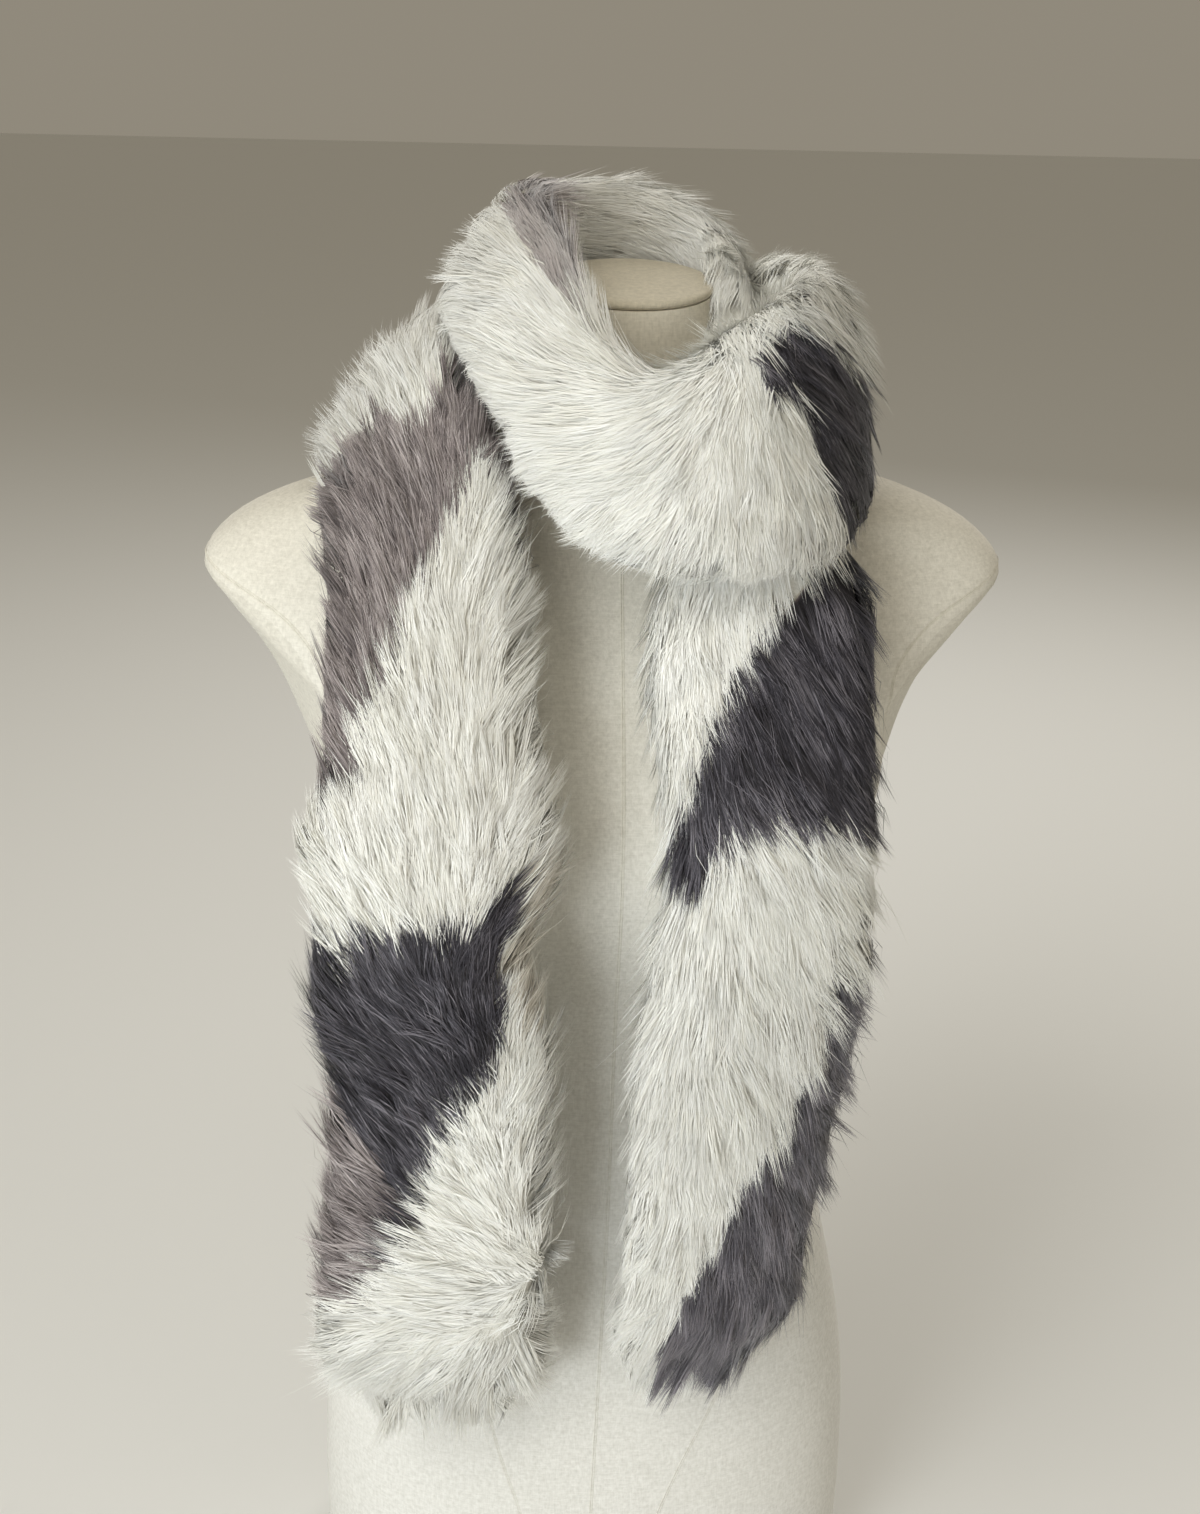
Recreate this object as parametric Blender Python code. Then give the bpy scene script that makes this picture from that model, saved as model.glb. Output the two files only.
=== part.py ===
"""A long-pile fur scarf wound once round the neck of an armless canvas dress form.

Units are metres, +Z is up and the front faces -Y. The origin is the middle of the form's flat base.
The scarf is one flattened tube. Its route, facing and size come from a table with a row for each fold,
and each stretch of it that shows is an object of its own, parted from the next by a seam gap.
"""

import math

import bmesh
import bpy
import numpy as np
from mathutils import Matrix, Vector
from mathutils.bvhtree import BVHTree

COLLECTION_NAME = "fluffy_scarf_on_dress_form"
MM = 0.001
SEAM_GAP = 0.3 * MM
REST_GAP = 0.6 * MM
MERGE_DISTANCE = 0.001 * MM
SHARP_ANGLE = math.radians(50)

# The dress form, a section for each row, from the base up. armhole: how steeply the side runs in from
# its widest depth to the front crease of the armhole. tilt: in degrees, front edge down.
# z, half width, front depth, back depth, squareness, armhole, middle x, middle y, tilt
FORM_SECTIONS = (
    (0.000, 0.1600, 0.105, 0.112, 2.3, 0.00, 0.000, 0.000, 0.0),
    (0.050, 0.1625, 0.108, 0.118, 2.3, 0.00, 0.000, 0.000, 0.0),
    (0.100, 0.1620, 0.110, 0.122, 2.3, 0.00, 0.000, 0.000, 0.0),
    (0.150, 0.1590, 0.108, 0.120, 2.3, 0.00, 0.000, 0.000, 0.0),
    (0.205, 0.1500, 0.100, 0.108, 2.3, 0.00, 0.000, 0.000, 0.0),
    (0.270, 0.1350, 0.092, 0.090, 2.3, 0.00, 0.000, 0.000, 0.0),
    (0.340, 0.1230, 0.087, 0.078, 2.3, 0.00, 0.000, 0.000, 0.0),
    (0.400, 0.1260, 0.093, 0.080, 2.3, 0.00, 0.000, 0.000, 0.0),
    (0.455, 0.1370, 0.107, 0.087, 2.3, 0.00, 0.000, 0.000, 0.0),
    (0.505, 0.1480, 0.117, 0.093, 2.4, 0.02, 0.000, 0.000, 0.0),
    (0.550, 0.1615, 0.112, 0.097, 2.6, 0.20, 0.000, 0.000, 0.0),
    (0.580, 0.1740, 0.100, 0.097, 2.9, 0.37, 0.000, 0.000, 0.0),
    (0.603, 0.1860, 0.089, 0.094, 3.1, 0.38, 0.000, 0.000, 0.0),
    (0.622, 0.2000, 0.080, 0.090, 3.1, 0.36, 0.000, 0.000, 0.0),
    (0.637, 0.2110, 0.072, 0.086, 3.0, 0.30, 0.000, 0.001, 0.0),
    (0.650, 0.2150, 0.066, 0.082, 2.8, 0.08, 0.000, 0.001, 0.0),
    (0.661, 0.2110, 0.062, 0.078, 2.6, 0.00, 0.000, 0.001, 0.0),
    (0.674, 0.1970, 0.058, 0.074, 2.5, 0.00, 0.000, 0.001, 0.0),
    (0.686, 0.1740, 0.054, 0.069, 2.4, 0.00, 0.001, 0.000, 0.0),
    (0.696, 0.1440, 0.050, 0.064, 2.3, 0.00, 0.003, -0.001, 1.0),
    (0.705, 0.1100, 0.048, 0.059, 2.2, 0.00, 0.005, -0.002, 2.0),
    (0.716, 0.0800, 0.047, 0.054, 2.1, 0.00, 0.006, -0.003, 4.0),
    (0.732, 0.0590, 0.046, 0.050, 2.0, 0.00, 0.008, -0.005, 6.0),
    (0.758, 0.0475, 0.046, 0.046, 2.0, 0.00, 0.009, -0.007, 8.0),
    (0.7955, 0.0430, 0.043, 0.043, 2.0, 0.00, 0.009, -0.009, 9.0),
)
ARMHOLE_WIDEST_Y = 0.010
ARMHOLE_SOFTNESS = 0.009
FORM_RING_POINTS = 44
FORM_RING_SPACING = 0.028

# The soft fullness of the chest: middle x (mirrored), middle z, spread in x, spread in z, depth.
CHEST_FULLNESS = (0.073, 0.503, 0.036, 0.042, 0.016)

CAP_RADIUS = 0.0435
CAP_THICKNESS = 0.0042
CAP_EDGE = 0.0021
CAP_DOME = 0.0015
CAP_SEGMENTS = 40
CAP_TOP_CIRCLES = 3
CAP_EDGE_STEPS = 5

# An armhole plate lies on the side of the form: middle y and z, and its half sizes.
PLATE_MIDDLE = (0.000, 0.596)
PLATE_HALF_SIZE = (0.048, 0.042)
PLATE_THICKNESS = 0.0020
PLATE_GAP = 0.0011
PLATE_SPOKES = 32
PLATE_CIRCLES = 5

# The scarf's route, a row for each fold or turn, from the left tail's hem to the right tail's hem.
# x, y, z: middle of the flattened tube. azimuth, elevation: where its shown face looks, in degrees,
# 0 = to +X, -90 = to the front. width, thickness: over the fur. skew: how far the section turns in the
# face's plane, in degrees.
SCARF_ROUTE = {
    "scarf_left_tail": (
        (-0.088, -0.132, 0.222, -95, 2, 0.094, 0.022, -4),
        (-0.090, -0.136, 0.244, -95, 2, 0.126, 0.038, -5),
        (-0.089, -0.138, 0.290, -95, 0, 0.128, 0.042, -3),
        (-0.087, -0.140, 0.345, -95, 0, 0.122, 0.044, 0),
        (-0.087, -0.145, 0.400, -95, -2, 0.116, 0.044, 0),
        (-0.087, -0.152, 0.432, -95, -4, 0.116, 0.044, 0),
        (-0.095, -0.161, 0.475, -95, -4, 0.112, 0.045, 0),
        (-0.098, -0.164, 0.510, -95, 0, 0.116, 0.046, 0),
        (-0.094, -0.159, 0.545, -95, 8, 0.134, 0.046, 0),
        (-0.091, -0.144, 0.585, -95, 20, 0.114, 0.044, 0),
        (-0.092, -0.124, 0.622, -97, 30, 0.106, 0.043, 0),
        (-0.093, -0.103, 0.655, -100, 34, 0.102, 0.042, 0),
    ),
    "scarf_left_shoulder": (
        (-0.098, -0.078, 0.688, -112, 38, 0.102, 0.041, 0),
        (-0.107, -0.047, 0.717, -140, 42, 0.104, 0.039, 0),
        (-0.113, -0.012, 0.736, 180, 42, 0.104, 0.037, 0),
        (-0.106, 0.030, 0.742, 155, 40, 0.102, 0.036, 0),
    ),
    "scarf_back_outer": (
        (-0.082, 0.070, 0.742, 130, 34, 0.100, 0.036, 0),
        (-0.042, 0.099, 0.739, 106, 30, 0.100, 0.036, 0),
        (0.010, 0.108, 0.738, 88, 28, 0.100, 0.036, 0),
        (0.060, 0.096, 0.741, 65, 28, 0.102, 0.036, 0),
        (0.098, 0.064, 0.746, 38, 26, 0.108, 0.036, 0),
    ),
    "scarf_right_turn": (
        (0.113, 0.022, 0.753, 8, 20, 0.110, 0.034, 0),
        (0.114, -0.018, 0.754, -12, 18, 0.112, 0.035, 0),
        (0.104, -0.058, 0.746, -36, 20, 0.118, 0.037, 0),
    ),
    "scarf_front_wrap": (
        (0.080, -0.092, 0.732, -62, 26, 0.124, 0.040, 0),
        (0.046, -0.112, 0.724, -84, 28, 0.113, 0.042, 0),
        (0.007, -0.117, 0.726, -102, 30, 0.098, 0.042, 0),
        (-0.023, -0.103, 0.744, -122, 34, 0.080, 0.042, 0),
        (-0.045, -0.074, 0.774, -142, 38, 0.078, 0.043, 0),
        (-0.057, -0.032, 0.802, -163, 34, 0.082, 0.044, 0),
    ),
    "scarf_back_inner": (
        (-0.054, 0.014, 0.809, 172, 14, 0.082, 0.042, 0),
        (-0.026, 0.052, 0.804, 122, 8, 0.086, 0.032, 0),
        (0.012, 0.064, 0.802, 88, 4, 0.086, 0.030, 0),
        (0.048, 0.053, 0.783, 52, 8, 0.086, 0.030, 0),
    ),
    "scarf_right_inner": (
        (0.067, 0.022, 0.765, 18, 12, 0.084, 0.027, 0),
        (0.073, -0.012, 0.748, -8, 16, 0.086, 0.026, 0),
        (0.073, -0.043, 0.719, -38, 22, 0.092, 0.028, 0),
        (0.071, -0.071, 0.690, -66, 30, 0.098, 0.032, 0),
    ),
    "scarf_right_tail": (
        (0.067, -0.098, 0.657, -80, 32, 0.102, 0.035, 0),
        (0.069, -0.122, 0.622, -86, 28, 0.108, 0.040, 0),
        (0.072, -0.144, 0.585, -86, 20, 0.106, 0.043, 0),
        (0.075, -0.159, 0.545, -86, 8, 0.104, 0.045, 0),
        (0.074, -0.164, 0.505, -86, 0, 0.110, 0.046, 0),
        (0.070, -0.161, 0.465, -86, -4, 0.112, 0.046, 0),
        (0.065, -0.154, 0.420, -86, -4, 0.112, 0.045, 0),
        (0.061, -0.147, 0.375, -86, -2, 0.110, 0.044, 2),
        (0.058, -0.141, 0.330, -86, 0, 0.106, 0.043, 6),
        (0.053, -0.137, 0.290, -86, 0, 0.102, 0.041, 14),
        (0.047, -0.134, 0.258, -86, 2, 0.096, 0.036, 22),
        (0.044, -0.131, 0.240, -86, 2, 0.070, 0.020, 26),
    ),
}
ROUTE_SAMPLES_PER_ROW = 40
SCARF_RING_SPACING = 0.0175
SCARF_RING_POINTS = 28
SCARF_SQUARENESS = 2.5

# Which run of stretches rests on which other run, from the neck outwards.
SCARF_LAYERS = (
    (("scarf_left_tail", "scarf_back_outer"), ("scarf_back_inner", "scarf_right_inner")),
    (("scarf_right_turn", "scarf_right_turn"), ("scarf_back_inner", "scarf_right_inner")),
    (("scarf_right_turn", "scarf_front_wrap"), ("scarf_right_inner", "scarf_right_tail")),
    (("scarf_front_wrap", "scarf_front_wrap"), ("scarf_left_tail", "scarf_left_shoulder")),
)
SETTLE_ROUNDS = 4
DEEPEST_PRESS = 0.030
PRESS_SPREAD = (0.6, 0.25)

CANVAS_COLOUR = (0.76, 0.74, 0.68, 1.0)
WHITE_FUR_COLOUR = (0.84, 0.84, 0.80, 1.0)
GREY_FUR_COLOUR = (0.12, 0.11, 0.13, 1.0)
CANVAS_ROUGHNESS = 0.85
FUR_ROUGHNESS = 0.6
GREY_STRETCHES = ("scarf_right_turn", "scarf_left_shoulder")


def clear_scene():
    for old in list(bpy.data.objects):
        bpy.data.objects.remove(old)


def new_material(name, colour, roughness):
    material = bpy.data.materials.new(name)
    material.use_nodes = True
    shader = material.node_tree.nodes["Principled BSDF"]
    shader.inputs["Base Color"].default_value = colour
    shader.inputs["Roughness"].default_value = roughness
    shader.inputs["Metallic"].default_value = 0.0
    return material


def smooth_rows(rows, positions):
    """Reads the rows of a table as a smooth curve (a natural cubic) at fractional row numbers."""
    rows = np.array(rows, float)
    last = len(rows) - 1
    system = np.eye(last + 1) * 4
    system[0, 0] = system[last, last] = 1
    rise = np.zeros_like(rows)
    for i in range(1, last):
        system[i, i - 1] = system[i, i + 1] = 1
        rise[i] = 6 * (rows[i - 1] - 2 * rows[i] + rows[i + 1])
    bend = np.linalg.solve(system, rise)
    found = []
    for position in positions:
        i = min(int(position), last - 1)
        t = position - i
        found.append(
            rows[i] * (1 - t) + rows[i + 1] * t
            - bend[i] * t * (1 - t) * (2 - t) / 6
            - bend[i + 1] * t * (1 - t) * (1 + t) / 6
        )
    return np.array(found)


def rounded(value, squareness):
    """One coordinate of a superellipse from the sine or cosine of its angle."""
    return math.copysign(abs(value) ** (2 / squareness), value)


def loft_faces(ring_count, count):
    """The faces round a loft, and a fan at each end from the two middles that follow its points."""
    first_middle = ring_count * count
    top = first_middle - count
    faces = []
    for i in range(count):
        j = (i + 1) % count
        faces.append((first_middle, j, i))
        faces.append((first_middle + 1, top + i, top + j))
        for low in range(0, top, count):
            faces.append((low + i, low + j, low + count + j, low + count + i))
    return faces


def loft_points(rings):
    points = [tuple(p) for ring in rings for p in ring]
    return points + [tuple(np.mean(rings[0], axis=0)), tuple(np.mean(rings[-1], axis=0))]


def loft_object(name, rings, material, collection):
    """A closed solid through the rings, each end closed by a fan from its middle."""
    mesh = bpy.data.meshes.new(name)
    mesh.from_pydata(loft_points(rings), [], loft_faces(len(rings), len(rings[0])))
    return finish_mesh(name, mesh, material, collection)


def finish_mesh(name, mesh, material, collection):
    work = bmesh.new()
    work.from_mesh(mesh)
    bmesh.ops.recalc_face_normals(work, faces=work.faces)
    work.to_mesh(mesh)
    work.free()
    mesh.shade_smooth()
    mesh.set_sharp_from_angle(angle=SHARP_ANGLE)
    mesh.materials.append(material)
    placed = bpy.data.objects.new(name, mesh)
    collection.objects.link(placed)
    return placed


def chest_fullness(x, z):
    middle_x, middle_z, spread_x, spread_z, depth = CHEST_FULLNESS
    lift = math.exp(-((z - middle_z) / spread_z) ** 2 / 2)
    return depth * lift * sum(
        math.exp(-((x - side * middle_x) / spread_x) ** 2 / 2) for side in (-1, 1)
    )


def form_ring(section):
    z, half_width, front, back, squareness, armhole, middle_x, middle_y, tilt = section
    ring = []
    for i in range(FORM_RING_POINTS):
        angle = 2 * math.pi * i / FORM_RING_POINTS
        x = half_width * rounded(math.cos(angle), squareness)
        side = rounded(math.sin(angle), squareness)
        y = side * (back if side > 0 else front)
        if side < 0:
            y -= chest_fullness(x, z) * -side
        if armhole > 0:
            limit = half_width - armhole * max(0.0, ARMHOLE_WIDEST_Y - y)
            soft = ARMHOLE_SOFTNESS * armhole
            x = math.copysign((abs(x) + limit - math.hypot(abs(x) - limit, soft)) / 2, x)
        ring.append((middle_x + x, middle_y + y, z + y * math.tan(math.radians(tilt))))
    return ring


def build_form(materials, collection):
    positions = []
    for row, (low, high) in enumerate(zip(FORM_SECTIONS, FORM_SECTIONS[1:])):
        count = math.ceil((high[0] - low[0]) / FORM_RING_SPACING)
        positions.extend(row + i / count for i in range(count))
    positions.append(len(FORM_SECTIONS) - 1)
    sections = smooth_rows(FORM_SECTIONS, positions)
    torso = loft_object("form_torso", [form_ring(s) for s in sections], materials["torso"], collection)
    cap = build_neck_cap(materials["cap"], collection)
    body = tree_of_object(torso)
    cap_tree = tree_of_object(cap)
    for side, name in ((-1, "left"), (1, "right")):
        build_arm_plate("form_arm_plate_" + name, side, body, materials[name + "_plate"], collection)
    return body, cap_tree


def build_neck_cap(material, collection):
    """A turned disc with a rounded edge and a slight dome, on the slanted top of the neck."""
    z = FORM_SECTIONS[-1][0]
    middle_x, middle_y, tilt = FORM_SECTIONS[-1][-3:]
    flat_radius = CAP_RADIUS - CAP_EDGE
    half_height = CAP_THICKNESS / 2
    profile = [(0.0, CAP_THICKNESS + CAP_DOME)]
    for i in range(1, CAP_TOP_CIRCLES + 1):
        r = flat_radius * i / CAP_TOP_CIRCLES
        profile.append((r, CAP_THICKNESS + CAP_DOME * (1 - (r / CAP_RADIUS) ** 2)))
    for i in range(1, CAP_EDGE_STEPS + 1):
        angle = math.pi / 2 * (1 - 2 * i / CAP_EDGE_STEPS)
        profile.append((flat_radius + CAP_EDGE * math.cos(angle), half_height * (1 + math.sin(angle))))
    profile.append((0.0, 0.0))
    work = bmesh.new()
    corners = [work.verts.new((r, 0.0, h)) for r, h in profile]
    for a, b in zip(corners, corners[1:]):
        work.edges.new((a, b))
    bmesh.ops.spin(
        work, geom=work.verts[:] + work.edges[:], cent=(0, 0, 0), axis=(0, 0, 1),
        angle=2 * math.pi, steps=CAP_SEGMENTS, use_merge=True,
    )
    bmesh.ops.remove_doubles(work, verts=work.verts, dist=MERGE_DISTANCE)
    mesh = bpy.data.meshes.new("form_neck_cap")
    work.to_mesh(mesh)
    work.free()
    cap = finish_mesh("form_neck_cap", mesh, material, collection)
    cap.location = (middle_x, middle_y, z + SEAM_GAP / math.cos(math.radians(tilt)))
    cap.rotation_euler = (math.radians(tilt), 0, 0)
    return cap


def tree_of_object(made):
    place = Matrix.LocRotScale(made.location, made.rotation_euler, made.scale)
    points = [place @ v.co for v in made.data.vertices]
    return BVHTree.FromPolygons(points, [tuple(f.vertices) for f in made.data.polygons])


def build_arm_plate(name, side, body, material, collection):
    """An oval plate on the form's side, made from the form's own side moved outwards."""
    middle_y, middle_z = PLATE_MIDDLE
    half_y, half_z = PLATE_HALF_SIZE
    inwards = Vector((-side, 0, 0))
    layers = []
    for lift in (PLATE_GAP, PLATE_GAP + PLATE_THICKNESS):
        points = []
        for circle in range(PLATE_CIRCLES + 1):
            for spoke in range(PLATE_SPOKES if circle else 1):
                angle = 2 * math.pi * spoke / PLATE_SPOKES
                reach = circle / PLATE_CIRCLES
                y = middle_y + half_y * reach * math.cos(angle)
                z = middle_z + half_z * reach * math.sin(angle)
                on_form, outwards, _, _ = body.ray_cast(Vector((side, y, z)), inwards)
                points.append(tuple(on_form + outwards * lift))
        layers.append(points)
    count = len(layers[0])
    faces = []
    for shift in (0, count):
        for spoke in range(PLATE_SPOKES):
            after = (spoke + 1) % PLATE_SPOKES
            faces.append((shift, shift + 1 + spoke, shift + 1 + after))
            for circle in range(1, PLATE_CIRCLES):
                low = shift + 1 + (circle - 1) * PLATE_SPOKES
                high = low + PLATE_SPOKES
                faces.append((low + spoke, high + spoke, high + after, low + after))
    rim = 1 + (PLATE_CIRCLES - 1) * PLATE_SPOKES
    for spoke in range(PLATE_SPOKES):
        after = (spoke + 1) % PLATE_SPOKES
        faces.append((rim + spoke, rim + after, count + rim + after, count + rim + spoke))
    mesh = bpy.data.meshes.new(name)
    mesh.from_pydata(layers[0] + layers[1], [], faces)
    finish_mesh(name, mesh, material, collection)


def facing(azimuth, elevation):
    azimuth = math.radians(azimuth)
    elevation = math.radians(elevation)
    level = math.cos(elevation)
    return (level * math.cos(azimuth), level * math.sin(azimuth), math.sin(elevation))


def scarf_grid():
    """All the scarf's rings, as one array, and the ring number where each stretch starts."""
    rows = []
    starts = []
    for stretch in SCARF_ROUTE.values():
        starts.append(len(rows))
        for x, y, z, azimuth, elevation, width, thickness, skew in stretch:
            rows.append((x, y, z, *facing(azimuth, elevation), width, thickness, skew))
    fine = np.linspace(0, len(rows) - 1, ROUTE_SAMPLES_PER_ROW * len(rows))
    along = smooth_rows(rows, fine)[:, :3]
    length = np.concatenate([[0], np.cumsum(np.linalg.norm(np.diff(along, axis=0), axis=1))])
    positions = []
    ring_starts = []
    bounds = starts + [len(rows) - 1]
    for first, last in zip(bounds, bounds[1:]):
        a, b = np.interp((first, last), fine, length)
        count = max(2, round((b - a) / SCARF_RING_SPACING))
        ring_starts.append(len(positions))
        positions.extend(np.interp(a + (b - a) * np.arange(count) / count, length, fine))
    positions.append(len(rows) - 1.0)
    curve = smooth_rows(rows, positions)
    middles = curve[:, :3]
    tangents = np.gradient(middles, axis=0)
    tangents /= np.linalg.norm(tangents, axis=1)[:, None]
    rings = []
    for middle, tangent, row in zip(middles, tangents, curve):
        out = row[3:6] - tangent * (tangent @ row[3:6])
        out /= np.linalg.norm(out)
        across = np.cross(out, tangent)
        skew = math.tan(math.radians(row[8]))
        ring = []
        for i in range(SCARF_RING_POINTS):
            angle = 2 * math.pi * i / SCARF_RING_POINTS
            u = row[6] / 2 * rounded(math.cos(angle), SCARF_SQUARENESS)
            v = row[7] / 2 * rounded(math.sin(angle), SCARF_SQUARENESS)
            ring.append(middle + across * u + out * v - tangent * (u * skew))
        rings.append(ring)
    return np.array(rings), tangents, ring_starts + [len(positions) - 1]


def tree_of_rings(rings):
    return BVHTree.FromPolygons(loft_points(rings), loft_faces(len(rings), len(rings[0])))


def push_out(rings, first, last, tree):
    """Moves what is inside the solid, or nearer than the gap, out to the gap. It looks at each point of the
    rings from first to last, and at the middle of each face and edge. Rings beside a moved one follow."""
    count = rings.shape[1]
    push = np.zeros_like(rings)
    for k in range(first, last + 1):
        for i in range(count):
            j = (i + 1) % count
            tests = [((k, i),), ((k, i), (k, j))]
            if k < last:
                tests += [((k, i), (k + 1, i)), ((k, i), (k, j), (k + 1, j), (k + 1, i))]
            for owners in tests:
                out = way_out(sum(rings[owner] for owner in owners) / len(owners), tree)
                for owner in owners:
                    if out @ out > push[owner] @ push[owner]:
                        push[owner] = out
    spread = push.copy()
    for reach, share in enumerate(PRESS_SPREAD, 1):
        for shift in (-reach, reach):
            shared = np.roll(push, shift, axis=0) * share
            larger = (shared**2).sum(axis=2) > (spread**2).sum(axis=2)
            spread[larger] = shared[larger]
    rings += spread


def way_out(point, tree):
    near, normal, _, distance = tree.find_nearest(Vector(point))
    above = (Vector(point) - near).dot(normal)
    if distance > DEEPEST_PRESS or above >= REST_GAP:
        return np.zeros(3)
    return np.array(normal) * (REST_GAP - above)


def settle_scarf(rings, starts, form_trees):
    """Presses the layers apart, from the form outwards."""
    names = list(SCARF_ROUTE)

    def span(run):
        return starts[names.index(run[0])], starts[names.index(run[-1]) + 1]

    for _ in range(SETTLE_ROUNDS):
        for tree in form_trees:
            push_out(rings, 0, len(rings) - 1, tree)
        for moved, carrier in SCARF_LAYERS:
            first, last = span(carrier)
            push_out(rings, *span(moved), tree_of_rings(rings[first : last + 1]))
    push_out(rings, 0, len(rings) - 1, form_trees[0])


def build_scarf(materials, collection, form_trees):
    rings, tangents, starts = scarf_grid()
    settle_scarf(rings, starts, form_trees)
    for number, name in enumerate(SCARF_ROUTE):
        first, last = starts[number], starts[number + 1]
        stretch = rings[first : last + 1].copy()
        if number > 0:
            stretch[0] += tangents[first] * SEAM_GAP / 2
        if number < len(SCARF_ROUTE) - 1:
            stretch[-1] -= tangents[last] * SEAM_GAP / 2
        loft_object(name, stretch, materials[name], collection)


def main():
    clear_scene()
    collection = bpy.data.collections.new(COLLECTION_NAME)
    bpy.context.scene.collection.children.link(collection)
    materials = {
        "torso": new_material("torso_canvas", CANVAS_COLOUR, CANVAS_ROUGHNESS),
        "cap": new_material("cap_canvas", CANVAS_COLOUR, CANVAS_ROUGHNESS),
        "left_plate": new_material("left_plate_canvas", CANVAS_COLOUR, CANVAS_ROUGHNESS),
        "right_plate": new_material("right_plate_canvas", CANVAS_COLOUR, CANVAS_ROUGHNESS),
    }
    for name in SCARF_ROUTE:
        colour = GREY_FUR_COLOUR if name in GREY_STRETCHES else WHITE_FUR_COLOUR
        materials[name] = new_material(name + "_fur", colour, FUR_ROUGHNESS)
    form_trees = build_form(materials, collection)
    build_scarf(materials, collection, form_trees)


main()
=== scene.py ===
"""Looks of a long-pile fur scarf wound once round the neck of an armless canvas dress form.

The frame's solids give the place of everything. The form gets a finer canvas surface with its seams.
The scarf's tube is worked out again from its route, as a pelt inside the solids' outer surface. Each
stretch of pelt carries a joined mesh of tapered strands, combed along the nap and gathered in locks,
whose tips reach about as far as the solids' surface.
"""

import math
from types import SimpleNamespace

import bmesh
import bpy
import numpy as np
from mathutils import Matrix, Vector
from mathutils.bvhtree import BVHTree


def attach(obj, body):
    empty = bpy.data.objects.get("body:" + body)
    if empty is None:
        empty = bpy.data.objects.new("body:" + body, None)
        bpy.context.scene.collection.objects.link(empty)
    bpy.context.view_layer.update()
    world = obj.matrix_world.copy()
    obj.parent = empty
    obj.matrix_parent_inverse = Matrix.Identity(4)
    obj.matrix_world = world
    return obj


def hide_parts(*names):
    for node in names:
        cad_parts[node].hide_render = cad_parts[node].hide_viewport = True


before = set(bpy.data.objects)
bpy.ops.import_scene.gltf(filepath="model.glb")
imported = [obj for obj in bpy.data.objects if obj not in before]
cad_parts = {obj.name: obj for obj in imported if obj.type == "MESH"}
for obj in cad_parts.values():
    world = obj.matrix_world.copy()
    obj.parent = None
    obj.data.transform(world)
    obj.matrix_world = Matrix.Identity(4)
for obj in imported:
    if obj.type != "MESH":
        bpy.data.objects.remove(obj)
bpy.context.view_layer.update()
BODY = "root"
MM = 0.001
RANDOM = np.random.default_rng(20)
TINY = 1e-9
SHARP_ANGLE = math.radians(50)

# The dress form, a section for each row, from the base up. armhole: how steeply the side runs in from
# its widest depth to the front crease of the armhole. tilt: in degrees, front edge down.
# z, half width, front depth, back depth, squareness, armhole, middle x, middle y, tilt
FORM_SECTIONS = (
    (0.000, 0.1600, 0.105, 0.112, 2.3, 0, 0, 0, 0),
    (0.050, 0.1625, 0.108, 0.118, 2.3, 0, 0, 0, 0),
    (0.100, 0.1620, 0.110, 0.122, 2.3, 0, 0, 0, 0),
    (0.150, 0.1590, 0.108, 0.120, 2.3, 0, 0, 0, 0),
    (0.205, 0.1500, 0.100, 0.108, 2.3, 0, 0, 0, 0),
    (0.270, 0.1350, 0.092, 0.090, 2.3, 0, 0, 0, 0),
    (0.340, 0.1230, 0.087, 0.078, 2.3, 0, 0, 0, 0),
    (0.400, 0.1260, 0.093, 0.080, 2.3, 0, 0, 0, 0),
    (0.455, 0.1370, 0.107, 0.087, 2.3, 0, 0, 0, 0),
    (0.505, 0.1480, 0.117, 0.093, 2.4, 0.02, 0, 0, 0),
    (0.550, 0.1615, 0.112, 0.097, 2.6, 0.20, 0, 0, 0),
    (0.580, 0.1740, 0.100, 0.097, 2.9, 0.37, 0, 0, 0),
    (0.603, 0.1860, 0.089, 0.094, 3.1, 0.38, 0, 0, 0),
    (0.622, 0.2000, 0.080, 0.090, 3.1, 0.36, 0, 0, 0),
    (0.637, 0.2110, 0.072, 0.086, 3.0, 0.30, 0, 0.001, 0),
    (0.650, 0.2150, 0.066, 0.082, 2.8, 0.08, 0, 0.001, 0),
    (0.661, 0.2110, 0.062, 0.078, 2.6, 0, 0, 0.001, 0),
    (0.674, 0.1970, 0.058, 0.074, 2.5, 0, 0, 0.001, 0),
    (0.686, 0.1740, 0.054, 0.069, 2.4, 0.00, 0.001, 0.000, 0.0),
    (0.696, 0.1440, 0.050, 0.064, 2.3, 0.00, 0.003, -0.001, 1.0),
    (0.705, 0.1100, 0.048, 0.059, 2.2, 0.00, 0.005, -0.002, 2.0),
    (0.716, 0.0800, 0.047, 0.054, 2.1, 0.00, 0.006, -0.003, 4.0),
    (0.732, 0.0590, 0.046, 0.050, 2.0, 0.00, 0.008, -0.005, 6.0),
    (0.758, 0.0475, 0.046, 0.046, 2.0, 0.00, 0.009, -0.007, 8.0),
    (0.7955, 0.0430, 0.043, 0.043, 2.0, 0.00, 0.009, -0.009, 9.0),
)
ARMHOLE_WIDEST_Y = 0.010
ARMHOLE_SOFTNESS = 0.009

# The soft fullness of the chest: middle x (mirrored), middle z, spread in x, spread in z, depth.
CHEST_FULLNESS = (0.073, 0.503, 0.036, 0.042, 0.016)
TORSO_RING_POINTS = 144
TORSO_RING_SPACING = 0.006

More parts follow.
